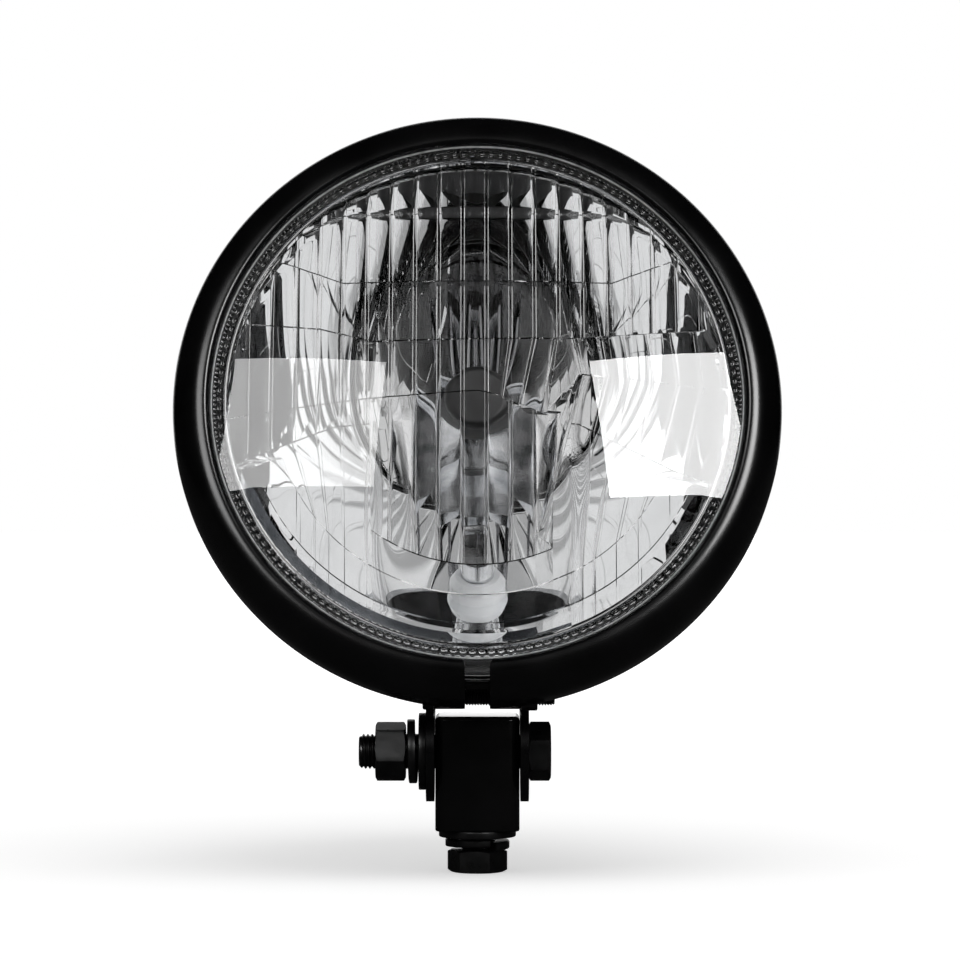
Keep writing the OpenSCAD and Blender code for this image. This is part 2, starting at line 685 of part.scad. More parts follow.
module dust_boot() color("#141414") in_lamp() {
    wall = 1.6;
    front = seat_z + 1.4;
    back = foot_rear + 1.5;
    ledge_a = foot_front - 4.8;
    ledge_b = ease(ledge_a, back, 0.55);
    wide = seat_r + 4.7 + wall;
    narrow = foot_r + slip + wall;
    middle = (wide + narrow) / 2;
    rotate_extrude() polygon([
        [wide - wall, front], [wide, front], [wide, ledge_a + 1], [wide - 1, ledge_a],
        [middle, ledge_a], [middle, ledge_b + 1], [middle - 1, ledge_b],
        [narrow, ledge_b], [narrow, back], [narrow - wall, back],
        [narrow - wall, ledge_b + wall], [middle - wall, ledge_b + wall],
        [middle - wall, ledge_a + wall], [wide - wall, ledge_a + wall]
    ]);
}

// Parking light, square to the bowl. Its metal cap starts inside the holder.
park_cap_in = park_bulb_in - park_glass;
park_root = 5;
module parking_bulb() color("#e8eef2", 0.4) in_lamp() at_park() {
    steps = 8;
    rotate_extrude() polygon(concat(
        [[0, park_cap_in], [park_bulb_r - 0.6, park_cap_in], [park_bulb_r, park_cap_in + 2]],
        [for (i = [0:steps]) let (a = 90 * i / steps)
            [park_bulb_r * cos(a), park_bulb_in - park_bulb_r + park_bulb_r * sin(a)]]
    ));
}

module parking_bulb_base() color("#c4c0b4") in_lamp() at_park() {
    cap_r = park_bulb_r + 0.3;
    translate([0, 0, -park_root]) cylinder(r = cap_r - 0.6, h = park_root + park_cap_in);
    translate([0, 0, holder_in + 0.3]) cylinder(r = cap_r, h = park_cap_in - holder_in - 0.3);
}

module parking_holder() color("#b8babc") in_lamp() at_park() difference() {
    union() {
        translate([0, 0, -holder_back]) cylinder(r = holder_r - 1.2, h = holder_back);
        translate([0, 0, -park_root]) cylinder(r = holder_r, h = park_root + holder_in);
        translate([0, 0, -park_root - 1]) cylinder(r = holder_r + 1.4, h = 2);
    }
    translate([0, 0, -park_root - slip]) cylinder(r = park_bulb_r - 0.3 + pin_play, h = through);
}

// Swivel block, bored across for the hinge bolt and up from below for the mounting bolt
module swivel_block() color("#0d0d0f") difference() {
    inner_w = block_w - 2 * block_edge;
    inner_d = block_d - 2 * block_edge;
    height = pivot_rise + block_top;
    union() {
        translate([-block_w / 2, -inner_d / 2, 0]) cube([block_w, inner_d, height]);
        translate([-inner_w / 2, -block_d / 2, 0]) cube([inner_w, block_d, height]);
        for (x = [-1, 1], y = [-1, 1])
            translate([x * inner_w / 2, y * inner_d / 2, 0]) cylinder(r = block_edge, h = height);
    }
    translate([0, 0, pivot_rise]) across() cylinder(r = bolt_r + pin_play, h = through, center = true);
    translate([0, 0, -1]) cylinder(r = bolt_r + pin_play, h = bolt_in + 2);
}

// Places along the cross bolt, left of the ears
flat_at = ear_out + tiny;
spring_at = flat_at + washer_t + slip;
nut_at = spring_at + spring_h + spring_rise + slip;
bolt_end = nut_at + nut_h + bolt_tail;

module cross_bolt() color("#161618") in_head() across() {
    translate([0, 0, ear_out + tiny]) rotate(20) hex(hex_af, head_h, 1);
    rotate([180, 0, 0]) translate([0, 0, -ear_out - 1]) shank(bolt_r, bolt_end + ear_out + 1, 0.9);
}

module cross_nut() color("#161618") in_head() across() translate([0, 0, -nut_at - nut_h]) difference() {
    hex(hex_af, nut_h, 1);
    translate([0, 0, -1]) cylinder(r = bolt_r + pin_play, h = nut_h + 2);
}

module cross_flat_washer() color("#1a1a1c") in_head() across() translate([0, 0, -flat_at - washer_t])
    ring(washer_d / 2, bolt_r + 2 * slip, washer_t);

module cross_lock_washer() color("#1a1a1c") in_head() across()
    translate([0, 0, -spring_at - spring_h - spring_rise])
        rotate(120) spring_washer(spring_d / 2, bolt_r + 2 * slip, spring_h, spring_rise);

// Mounting bolt and its washers, under the block
low_spring_at = washer_t + slip;
low_head_at = low_spring_at + spring_h + spring_rise + slip;

module mount_bolt() color("#161618") {
    translate([0, 0, -low_head_at - head_h]) rotate(54) hex(hex_af, head_h, 1);
    translate([0, 0, -low_head_at - 1]) shank(bolt_r, low_head_at + 1 + bolt_in, 0.9);
}

module mount_lock_washer() color("#1a1a1c") translate([0, 0, -low_spring_at - spring_h - spring_rise])
    rotate(-60) spring_washer(spring_d / 2, bolt_r + 2 * slip, spring_h, spring_rise);

module mount_flat_washer() color("#1a1a1c") translate([0, 0, -washer_t - tiny])
    ring(washer_d / 2, bolt_r + 2 * slip, washer_t);

shell();
mount_bracket();
bracket_rivets();
cable_grommet();
rim();
rim_screw();
rim_nut();
lens();
lens_seal();
reflector();
bulb_holder_ring();
bulb_glass();
bulb_shield();
bulb_filaments();
bulb_base();
bulb_insulator();
bulb_terminals();
bulb_clip();
dust_boot();
parking_bulb();
parking_bulb_base();
parking_holder();
swivel_block();
cross_bolt();
cross_nut();
cross_lock_washer();
cross_flat_washer();
mount_bolt();
mount_lock_washer();
mount_flat_washer();
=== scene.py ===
import json
import math

import bmesh
import bpy
from mathutils import Matrix, Vector


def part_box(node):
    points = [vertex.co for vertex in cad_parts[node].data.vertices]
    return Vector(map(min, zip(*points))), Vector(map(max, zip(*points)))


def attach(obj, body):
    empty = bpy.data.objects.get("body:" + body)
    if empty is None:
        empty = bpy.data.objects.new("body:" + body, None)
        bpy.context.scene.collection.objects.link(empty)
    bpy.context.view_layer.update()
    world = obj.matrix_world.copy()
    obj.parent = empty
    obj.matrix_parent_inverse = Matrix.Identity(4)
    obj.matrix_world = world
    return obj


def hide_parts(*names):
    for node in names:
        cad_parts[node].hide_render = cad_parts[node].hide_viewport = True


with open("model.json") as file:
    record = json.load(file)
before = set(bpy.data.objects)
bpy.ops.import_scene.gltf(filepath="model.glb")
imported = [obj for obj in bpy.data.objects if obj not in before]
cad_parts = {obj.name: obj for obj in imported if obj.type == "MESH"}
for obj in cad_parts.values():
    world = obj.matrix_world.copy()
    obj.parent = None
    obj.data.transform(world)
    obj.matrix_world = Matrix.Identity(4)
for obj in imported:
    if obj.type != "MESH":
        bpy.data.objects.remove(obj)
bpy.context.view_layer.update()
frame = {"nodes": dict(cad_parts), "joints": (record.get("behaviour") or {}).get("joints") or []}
nodes = frame["nodes"]
print("frame loaded")

# Shapes are worked out in millimetres, in the lamp's own frame: x right, y up, z forward, with the origin in
# the middle of the rim. These places carry them into the part's frame, in metres.
mm = 0.001
lamp = {"tilt": 15.0, "rimForward": 25.0, "axisRise": 89.7}
pivotRise = frame["joints"][0]["pos_m"][2] / mm
toMetres = Matrix.Scale(mm, 4)
headPlace = Matrix.Translation((0, 0, pivotRise)) @ Matrix.Rotation(math.radians(-lamp["tilt"]), 4, "X")
lampPlace = headPlace @ Matrix.Translation((0, -lamp["rimForward"], lamp["axisRise"])) @ Matrix.Rotation(
    math.pi / 2, 4, "X")
across = Matrix.Rotation(math.pi / 2, 4, "Y")


def halfWidth(node):
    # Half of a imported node's width, in millimetres
    low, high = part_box(node)
    return (high.x - low.x) / 2 / mm


# Mesh tools
def polar(radius, degrees):
    return radius * math.cos(math.radians(degrees)), radius * math.sin(math.radians(degrees))


def blendOf(a, b, t):
    return a + (b - a) * t


def limited(value, low, high):
    return max(low, min(high, value))


def along(x, knots):
    # Height of a line through the knots at place x
    if x <= knots[0][0]:
        return knots[0][1]
    for (x0, y0), (x1, y1) in zip(knots, knots[1:]):
        if x <= x1:
            return blendOf(y0, y1, (x - x0) / (x1 - x0))
    return knots[-1][1]


def arcPoints(centre, radius, start, end, steps):
    points = []
    for i in range(steps + 1):
        x, y = polar(radius, blendOf(start, end, i / steps))
        points.append((centre[0] + x, centre[1] + y))
    return points


def rounded(corners, steps=5):
    # Closed outline whose corners (u, v, radius) are turned into arcs
    outline = []
    for i, (u, v, radius) in enumerate(corners):
        here = Vector((u, v))
        if radius == 0:
            outline.append((u, v))
            continue
        before = Vector(corners[i - 1][:2]) - here
        after = Vector(corners[(i + 1) % len(corners)][:2]) - here
        half = before.angle(after) / 2
        reach = min(radius / math.tan(half), 0.49 * before.length, 0.49 * after.length)
        turn = math.pi - 2 * half
        centre = here + (before.normalized() + after.normalized()).normalized() * reach / math.cos(half)
        start = here + before.normalized() * reach - centre
        end = here + after.normalized() * reach - centre
        for k in range(steps + 1):
            t = k / steps
            point = centre + (start * math.sin((1 - t) * turn) + end * math.sin(t * turn)) / math.sin(turn)
            outline.append((point.x, point.y))
    return outline


def revolved(profile, steps=160):
    # Closed profile of (radius, height) points, turned once round the z axis
    verts = []
    faces = []
    count = len(profile)
    for k in range(steps):
        x, y = polar(1, 360 * k / steps)
        verts += [(r * x, r * y, z) for r, z in profile]
    for k in range(steps):
        here = k * count
        there = (k + 1) % steps * count
        for i in range(count):
            j = (i + 1) % count
            faces.append((here + i, there + i, there + j, here + j))
    return verts, faces


def stacked(loops):
    # Loops of equal length joined one to the next, with a cap at each end
    verts = [point for loop in loops for point in loop]
    count = len(loops[0])
    faces = [tuple(range(count))[::-1], tuple(range(len(verts) - count, len(verts)))]
    for k in range(len(loops) - 1):
        for i in range(count):
            j = (i + 1) % count
            faces.append((k * count + i, k * count + j, (k + 1) * count + j, (k + 1) * count + i))
    return verts, faces


def joined(*shapes):
    verts = []
    faces = []
    for shapeVerts, shapeFaces in shapes:
        base = len(verts)
        verts += shapeVerts
        faces += [tuple(base + i for i in face) for face in shapeFaces]
    return verts, faces


def raised(height):
    return Matrix.Translation((0, 0, height))


def spun(degrees):
    return Matrix.Rotation(math.radians(degrees), 4, "Z")


def moved(shape, matrix):
    verts, faces = shape
    return [tuple(matrix @ Vector(v)) for v in verts], faces


def closedMesh(name, shape, place):
    # Mesh of a closed shape: double points joined, and every face turned outward
    verts, faces = shape
    carry = toMetres @ place
    mesh = bpy.data.meshes.new(name)
    mesh.from_pydata([carry @ Vector(v) for v in verts], [], faces)
    build = bmesh.new()
    build.from_mesh(mesh)
    bmesh.ops.remove_doubles(build, verts=build.verts, dist=1e-6)
    bmesh.ops.dissolve_degenerate(build, edges=build.edges, dist=1e-7)
    bmesh.ops.recalc_face_normals(build, faces=build.faces)
    if build.calc_volume(signed=True) < 0:
        bmesh.ops.reverse_faces(build, faces=build.faces)
    build.to_mesh(mesh)
    build.free()
    return mesh


def smoothed(mesh, sharp):
    mesh.shade_smooth()
    mesh.set_sharp_from_angle(angle=math.radians(sharp))


def addPiece(name, shape, place, body, material, standsFor=(), sharp=35):
    mesh = closedMesh(name, shape, place)
    smoothed(mesh, sharp)
    mesh.materials.append(material)
    piece = bpy.data.objects.new(name, mesh)
    bpy.context.scene.collection.objects.link(piece)
    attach(piece, body)
    if standsFor:
        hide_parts(*standsFor)
    return piece


def cutFrom(piece, shape, place, sharp):
    # Takes a closed shape out of a finished piece
    mesh = closedMesh("cutter", shape, place)
    cutter = bpy.data.objects.new("cutter", mesh)
    bpy.context.scene.collection.objects.link(cutter)
    cut = piece.modifiers.new("cut", "BOOLEAN")
    cut.operation = "DIFFERENCE"
    cut.solver = "EXACT"
    cut.object = cutter
    bpy.context.view_layer.update()
    done = bpy.data.meshes.new_from_object(piece.evaluated_get(bpy.context.evaluated_depsgraph_get()))
    piece.modifiers.clear()
    old = piece.data
    done.name = old.name + "Cut"
    piece.data = done
    smoothed(done, sharp)
    bpy.data.objects.remove(cutter)
    bpy.data.meshes.remove(mesh)
    bpy.data.meshes.remove(old)


def rod(radius, start, end, steps=96):
    loops = []
    for z in (start, end):
        loops.append([(*polar(radius, 360 * k / steps), z) for k in range(steps)])
    return stacked(loops)


# Shader tools: one class for a socket, whose operators add Math nodes, and one for a tree of nodes
class Socket:
    def __init__(self, tree, link):
        self.tree = tree
        self.link = link

    def maths(self, operation, first, second):
        return self.tree.add("ShaderNodeMath", {"operation": operation}, {0: first, 1: second})

    def __add__(self, other):
        return self.maths("ADD", self, other)

    __radd__ = __add__

    def __sub__(self, other):
        return self.maths("SUBTRACT", self, other)

    def __rsub__(self, other):
        return self.maths("SUBTRACT", other, self)

    def __mul__(self, other):
        return self.maths("MULTIPLY", self, other)

    __rmul__ = __mul__


class Tree:
    def __init__(self, nodeTree):
        self.nodeTree = nodeTree
        nodeTree.nodes.clear()

    def add(self, kind, settings, inputs, output=0):
        node = self.nodeTree.nodes.new(kind)
        for name, value in settings.items():
            if name == "stops":
                ramp = node.color_ramp.elements
                while len(ramp) < len(value):
                    ramp.new(0.5)
                for element, (place, shade) in zip(ramp, value):
                    element.position = place
                    element.color = (*shade, 1)
            else:
                setattr(node, name, value)
        for name, value in inputs.items():
            if isinstance(value, Socket):
                self.nodeTree.links.new(value.link, node.inputs[name])
            else:
                node.inputs[name].default_value = value
        return Socket(self, node.outputs[output]) if len(node.outputs) else None

    def spot(self):
        # Place on the object, in metres
        return self.add("ShaderNodeTexCoord", {}, {}, "Object")

    def noise(self, scale, detail=3, roughness=0.5):
        return self.add("ShaderNodeTexNoise", {}, {
            "Vector": self.spot(), "Scale": scale, "Detail": detail, "Roughness": roughness}, "Fac")

    def ramp(self, factor, stops):
        return self.add("ShaderNodeValToRGB", {"stops": stops}, {"Fac": factor})

    def spread(self, factor, low, high):
        # A noise value carried to the range from low to high
        return self.add("ShaderNodeMapRange", {}, {
            "Value": factor, "From Min": 0.3, "From Max": 0.7, "To Min": low, "To Max": high})

    def bump(self, height, distance, strength=1.0):
        return self.add("ShaderNodeBump", {}, {"Height": height, "Distance": distance, "Strength": strength})

    def surface(self, link):
        self.add("ShaderNodeOutputMaterial", {}, {"Surface": link})


def newMaterial(name):
    material = bpy.data.materials.new(name)
    material.use_nodes = True
    return material, Tree(material.node_tree)


def grey(value):
    return (value, value, value)


def paintMaterial(name, values):
    # Opaque finish: two shades mixed by cloudy noise, with its own roughness range and fine bump
    material, tree = newMaterial(name)
    cloud = tree.noise(values["cloudScale"], 4)
    grain = tree.noise(values["grainScale"], 2, 0.6)
    tree.surface(tree.add("ShaderNodeBsdfPrincipled", {}, {
        "Base Color": tree.ramp(cloud, [(0.35, values["dark"]), (0.65, values["light"])]),
        "Metallic": values["metallic"],
        "Roughness": tree.spread(cloud, *values["roughness"]),
        "Specular IOR Level": values["specular"],
        "Normal": tree.bump(grain, values["bump"]),
    }))
    return material


finishes = {
    "blackGloss": {
        "dark": (0.0014, 0.0014, 0.0016), "light": (0.0026, 0.0026, 0.0029), "metallic": 0.0,
        "roughness": (0.17, 0.23), "specular": 0.45, "cloudScale": 60, "grainScale": 900, "bump": 0.000004},
    "blackSatin": {
        "dark": (0.002, 0.002, 0.0022), "light": (0.0045, 0.0045, 0.005), "metallic": 0.0,
        "roughness": (0.26, 0.38), "specular": 0.5, "cloudScale": 260, "grainScale": 2600, "bump": 0.000008},
    "platedSteel": {
        "dark": (0.50, 0.51, 0.53), "light": (0.68, 0.69, 0.70), "metallic": 1.0,
        "roughness": (0.10, 0.20), "specular": 0.5, "cloudScale": 160, "grainScale": 1800, "bump": 0.000006},
    "shieldMetal": {
        "dark": (0.04, 0.04, 0.042), "light": (0.09, 0.09, 0.092), "metallic": 1.0,
        "roughness": (0.14, 0.24), "specular": 0.5, "cloudScale": 300, "grainScale": 3000, "bump": 0.000003},
    "filamentMetal": {
        "dark": (0.20, 0.20, 0.21), "light": (0.42, 0.42, 0.43), "metallic": 1.0,
        "roughness": (0.22, 0.34), "specular": 0.5, "cloudScale": 400, "grainScale": 4000, "bump": 0.000003},
    "yellowBrass": {
        "dark": (0.55, 0.40, 0.17), "light": (0.70, 0.54, 0.26), "metallic": 1.0,
        "roughness": (0.20, 0.34), "specular": 0.5, "cloudScale": 200, "grainScale": 2200, "bump": 0.000006},
    "footMoulding": {
        "dark": (0.03, 0.03, 0.033), "light": (0.055, 0.055, 0.06), "metallic": 0.0,
        "roughness": (0.42, 0.55), "specular": 0.4, "cloudScale": 180, "grainScale": 2400, "bump": 0.000012},
    "paleMoulding": {
        "dark": (0.50, 0.51, 0.52), "light": (0.60, 0.61, 0.62), "metallic": 0.0,
        "roughness": (0.26, 0.36), "specular": 0.5, "cloudScale": 140, "grainScale": 2000, "bump": 0.000006},
    "blackRubber": {
        "dark": (0.012, 0.012, 0.012), "light": (0.024, 0.024, 0.024), "metallic": 0.0,
        "roughness": (0.5, 0.66), "specular": 0.35, "cloudScale": 220, "grainScale": 3000, "bump": 0.00002},
    # Pale grey for the ring inside the lip: a painted highlight of the bright line round the glass
    "groundGlass": {
        "dark": (0.34, 0.35, 0.35), "light": (0.62, 0.63, 0.63), "metallic": 0.0,
        "roughness": (0.3, 0.5), "specular": 0.6, "cloudScale": 420, "grainScale": 3000, "bump": 0.00001},
    "tipPaint": {
        "dark": (0.006, 0.006, 0.0064), "light": (0.012, 0.012, 0.0124), "metallic": 0.0,
        "roughness": (0.30, 0.42), "specular": 0.5, "cloudScale": 300, "grainScale": 3000, "bump": 0.000008},
}
finish = {name: paintMaterial(name, values) for name, values in finishes.items()}


mirrorLook = {"tint": (0.93, 0.935, 0.94), "roughness": (0.0, 0.0044), "waveScale": 26, "wave": 0.000006}


def mirrorMaterial():
    material, tree = newMaterial("bowlMirror")
    haze = tree.noise(90, 3)
    wave = tree.noise(mirrorLook["waveScale"], 1, 0.3)
    dim = tuple(0.96 * shade for shade in mirrorLook["tint"])
    tree.surface(tree.add("ShaderNodeBsdfPrincipled", {}, {
        "Base Color": tree.ramp(haze, [(0.3, dim), (0.7, mirrorLook["tint"])]),
        "Metallic": 1.0,
        "Roughness": tree.spread(haze, *mirrorLook["roughness"]),
        "Normal": tree.bump(wave, mirrorLook["wave"]),
    }))
    return material


def glassMaterial(name, values):
    # Clear glass that lets the lamps' light through to what is behind it
    material, tree = newMaterial(name)
    streak = tree.noise(values["streakScale"], 2)
    glass = tree.add("ShaderNodeBsdfPrincipled", {}, {
        "Base Color": tree.ramp(streak, [(0.3, values["dark"]), (0.7, values["light"])]),
        "Roughness": tree.spread(streak, *values["roughness"]),
        "Transmission Weight": 1.0,
        "IOR": values["ior"],
        "Normal": tree.bump(streak, values["wave"]),
    })
    clear = tree.add("ShaderNodeBsdfTransparent", {}, {"Color": (0.9, 0.9, 0.9, 1)})
    shadow = tree.add("ShaderNodeLightPath", {}, {}, "Is Shadow Ray")
    tree.surface(tree.add("ShaderNodeMixShader", {}, {0: shadow, 1: glass, 2: clear}))
    return material


glassLooks = {
    "pressedGlass": {"dark": grey(0.97), "light": grey(0.99), "roughness": (0.0, 0.004), "ior": 1.52,
                     "streakScale": 55, "wave": 0.000004},
    "bulbClear": {"dark": grey(0.97), "light": grey(0.99), "roughness": (0.0, 0.004), "ior": 1.2,
                  "streakScale": 90, "wave": 0.000003},
    "thinGlass": {"dark": grey(0.96), "light": grey(0.98), "roughness": (0.0, 0.01), "ior": 1.47,
                  "streakScale": 90, "wave": 0.000006},
}
for glassName, glassValues in glassLooks.items():
    finish[glassName] = glassMaterial(glassName, glassValues)
finish["bowlMirror"] = mirrorMaterial()
print("finishes made")


# Rim: a C section with a rolled lip, split at the bottom, with a clamp lug on each side of the gap
rim = {
    "outerR": halfWidth("rim") - 0.02, "wall": 1.4, "lipR": 71.7, "bandFront": 1.5, "lipFace": 12.2, "rollR": 1.8,
    "cornerR": 2.0, "shellGap": 0.45, "rearFront": -3.3, "gap": 6.6, "flare": 1.0, "flareWidth": 2.6,
    "lugWidth": 8.4, "lugReach": 80.8, "lugInner": 75.9, "lugMid": -8.84, "lugDepth": 6.4, "lugEdge": 0.7,
    "screwR": 2.5, "screwAxis": 77.9,
}
shellR = 75.4
lens = {
    "outerR": halfWidth("lens"), "opticR": 71.3, "edge": 10.4, "dome": 9.0, "wall": 3.0, "skirtRear": 2.6,
    "pitch": 6.4, "shift": 0.76, "step": 0.6, "ringA": 46.7, "ringB": 54.5, "ringC": 62.0,
    "gridR": 66.8, "rowsPerBand": 12, "teeth": 348, "bevelR": 63.6, "bevel": 0.75, "plainHalf": 28,
    "plainFade": 12, "shoulder": 0.8,
}


def rimProfile():
    faceR = rim["lipR"] + rim["rollR"]
    wide = rim["outerR"] - faceR
    rise = rim["lipFace"] - rim["bandFront"]
    rear = rim["rearFront"] - rim["wall"]
    lipIn = shellR + rim["shellGap"]
    steps = 40
    outline = arcPoints((rim["outerR"] - rim["cornerR"], rear + rim["cornerR"]), rim["cornerR"], 0, -90, 8)
    outline += [(lipIn + 0.3, rear), (lipIn, rear + 0.3), (lipIn, rim["rearFront"] - 0.3),
                (lipIn + 0.3, rim["rearFront"])]
    outline += arcPoints((rim["outerR"] - rim["wall"] - 1, rim["rearFront"] + 1), 1, -90, 0, 5)
    for i in range(steps + 1):
        x, z = math.cos(math.pi / 2 * i / steps), math.sin(math.pi / 2 * i / steps)
        outline.append((faceR + (wide - rim["wall"]) * x, rim["bandFront"] + (rise - rim["wall"]) * z))
    outline.append((rim["lipR"] + 0.9, rim["lipFace"] - rim["wall"] - 0.3))
    outline += arcPoints((faceR, rim["lipFace"] - rim["rollR"]), rim["rollR"], 195, 90, 12)[:-1]
    for i in range(steps + 1):
        x, z = math.sin(math.pi / 2 * i / steps), math.cos(math.pi / 2 * i / steps)
        outline.append((faceR + wide * x, rim["bandFront"] + rise * z))
    return outline


def rimShape():
    # Each section is turned a little with its radius, so that the two ends lie flat along the gap
    profile = rimProfile()
    steps = 220
    loops = []
    for k in range(steps + 1):
        loop = []
        for r, z in profile:
            near = limited(1 - (r - rim["lipR"]) / rim["flareWidth"], 0, 1)
            half = rim["gap"] / 2 + (rim["flare"] * near ** 2 if z > rim["bandFront"] else 0)
            opening = math.degrees(math.asin(half / r))
            loop.append((*polar(r, blendOf(-90 + opening, 270 - opening, k / steps)), z))
        loops.append(loop)
    return stacked(loops)


def roundedBlock(width, depth, low, high, corner, edge, steps=6, lowEdge=None):
    # Block with rounded upright corners and rounded ends
    loops = []
    lowEdge = lowEdge or edge
    turns = [math.pi / 2 * i / steps for i in range(steps + 1)]
    levels = [(low + lowEdge * (1 - math.cos(a)), lowEdge * (1 - math.sin(a))) for a in turns]
    levels += [(high - edge * (1 - math.cos(a)), edge * (1 - math.sin(a))) for a in reversed(turns)]
    for z, inset in levels:
        w, d = width / 2 - inset, depth / 2 - inset
        turn = max(corner - inset, 0.05)
        outline = rounded([(-w, -d, turn), (w, -d, turn), (w, d, turn), (-w, d, turn)], 8)
        loops.append([(x, y, z) for x, y in outline])
    return stacked(loops)


def rimLug(side):
    middle = side * (rim["gap"] / 2 + rim["lugWidth"] / 2)
    high = (rim["lugReach"] - rim["lugInner"]) / 2
    block = roundedBlock(rim["lugWidth"], 2 * high, rim["lugMid"] - rim["lugDepth"] / 2,
                         rim["rearFront"] - rim["wall"] / 2, rim["lugEdge"], rim["lugEdge"])
    return moved(block, Matrix.Translation((middle, -rim["lugReach"] + high, 0)))


rimPiece = addPiece("rimBand", joined(rimShape(), rimLug(-1), rimLug(1)), lampPlace, "head",
                    finish["blackGloss"], ["rim"], 30)
print("rim made")


# Glass: a dome in front, and behind it flutes between stepped bands, a beaded border and a skirt
domeR = (rim["lipR"] ** 2 + lens["dome"] ** 2) / (2 * lens["dome"])


def domeZ(r):
    return lens["edge"] + math.sqrt(domeR ** 2 - r * r) - math.sqrt(domeR ** 2 - rim["lipR"] ** 2)


def belowRing(r, x):
    return -math.sqrt(r * r - x * x) if abs(x) < r else 0


borderLines = [
    [(-70, 8), (-55, 43), (-36, 51), (36, 51), (55, 43), (70, 8)],
    [(-70, 6), (-55, 39), (-36, 31), (36, 31), (54, 39), (70, 6)],
    [(-70, 4), (-63, 20.7), (-42, 18), (-28, 14), (27, 14.8), (62, 18.5), (70, 4)],
    [(-70, -6), (-31, -2), (0, 0), (7, -1.5), (13, -4), (18.5, -6.5), (22, -6), (27, 4.8), (70, 1.8)],
]
lowerLeft = [(-70, -20), (-38, -9.5), (-30, -9)]
lowerRight = [(28.4, -8.2), (41.9, -14.1), (56.2, -20), (62.8, -22.8), (70, -26)]
# Height of a flute over the groove beside it, from its middle (0) to the groove (1)
fluteProfile = [(0, 0.454), (0.2, 0.441), (0.4, 0.403), (0.55, 0.357), (0.7, 0.296), (0.8, 0.245), (0.83, 0.222),
                (0.855, 0.12), (0.88, 0.02), (0.91, 0), (1, 0)]
bandAmount = [0.8, 1, 1, 1, 0.9, 0.5, 0.3, 0.2]
borders = 7
rowGap = 0.012  # smallest share of the height between two rows
stepHalf = 0.22
farBelow = -99  # a height under every band
# Sideways lean of the flutes, in the middle, on the right and at the lower left of the glass
lean = {
    "wedge": [(5, 0), (9, 0.15), (15.6, 0.21), (23.4, 0.28)], "jump": -1.75, "right": -0.26,
    "lowRight": -0.63, "lowRightRun": [(28, 0), (41, 8), (56, 8), (63, 9), (70, 6)],
    "lowLeft": 0.48, "lowLeftRun": [(-66, 8), (-59, 15), (-53, 17), (-47, 10), (-40, 4), (-34, 0)],
    "leftFrom": -34, "wedgeFrom": 5, "rightFrom": 20, "rightFade": 6, "edgeFrom": 58, "edgeFade": 8, "edgeLoss": 0.6,
}


def sideShift(x, y, band, part):
    # How far a flute stands beside its place at the top of the glass
    if x < lean["leftFrom"]:
        return lean["lowLeft"] * along(x, lean["lowLeftRun"]) * (0 if band < 5 else part if band == 5 else 1)
    if x < lean["wedgeFrom"] or band < 3:
        return 0
    rightward = limited((x - lean["rightFrom"]) / lean["rightFade"], 0, 1)
    if band == 3:
        wedge = -along(x, lean["wedge"]) * (border(2, x) - y)
        return blendOf(wedge, lean["jump"] * (1 - part), rightward)
    edge = limited(1 - lean["edgeLoss"] * (x - lean["edgeFrom"]) / lean["edgeFade"], 1 - lean["edgeLoss"], 1)
    low = max(y, border(4, x))
    shift = lean["right"] * (border(3, x) - low) * rightward * edge
    if band > 4:
        shift += lean["lowRight"] * along(x, lean["lowRightRun"]) * (part if band == 5 else 1) * edge
    return shift


def border(i, x):
    if i < 4:
        return along(x, borderLines[i])
    if i == 4:
        right = belowRing(lens["ringA"], x) if abs(x) < 28.4 else along(x, lowerRight)
        return min(along(x, lowerLeft), right)
    shifted = x + sideShift(x, farBelow, 6, 1)
    return belowRing(lens["ringB"] if i == 5 else lens["ringC"], shifted)


def fluteAmount(x, band):
    # The lowest three bands are plain in the middle
    if band < 5:
        return bandAmount[band]
    return bandAmount[band] * limited((abs(x) - lens["plainHalf"]) / lens["plainFade"], 0, 1)


def lensColumns():
    # Places across the glass with the height of the flutes there
    columns = []
    for k in range(-12, 13):
        middle = lens["pitch"] * k - lens["shift"]
        for side, order in ((-1, fluteProfile[::-1]), (1, fluteProfile[1:-1])):
            for share, high in order:
                columns.append((middle + side * share * lens["pitch"] / 2, high))
    widest = lens["gridR"] * math.cos(math.radians(4))
    columns = [column for column in columns if abs(column[0]) < widest - 0.1]
    return [(-widest, columns[0][1])] + columns + [(widest, columns[-1][1])]


def lensRows(x):
    # Rows of one column as (share of its height, band, share of the band)
    bottomX = x + sideShift(x, farBelow, borders, 1)
    top = math.sqrt(lens["gridR"] ** 2 - x * x)
    bottom = -math.sqrt(lens["gridR"] ** 2 - bottomX ** 2)
    edges = []
    last = 0
    for k in range(borders):
        share = (top - border(k, x)) / (top - bottom)
        share = max((2 * k + 1) * rowGap, min(1 - (2 * (borders - k) + 1) * rowGap, share))
        last = max(share, last + rowGap)
        edges.append(last)
    half = min(stepHalf / (top - bottom), rowGap * 0.4)
    rows = []
    for k in range(borders + 1):
        start = 0 if k == 0 else edges[k - 1] + half
        end = 1 if k == borders else edges[k] - half
        for j in range(lens["rowsPerBand"] + 1):
            part = (j / lens["rowsPerBand"]) ** (1.8 if k == 0 else 1)
            rows.append((blendOf(start, end, part), k, part))
    return top, bottom, rows


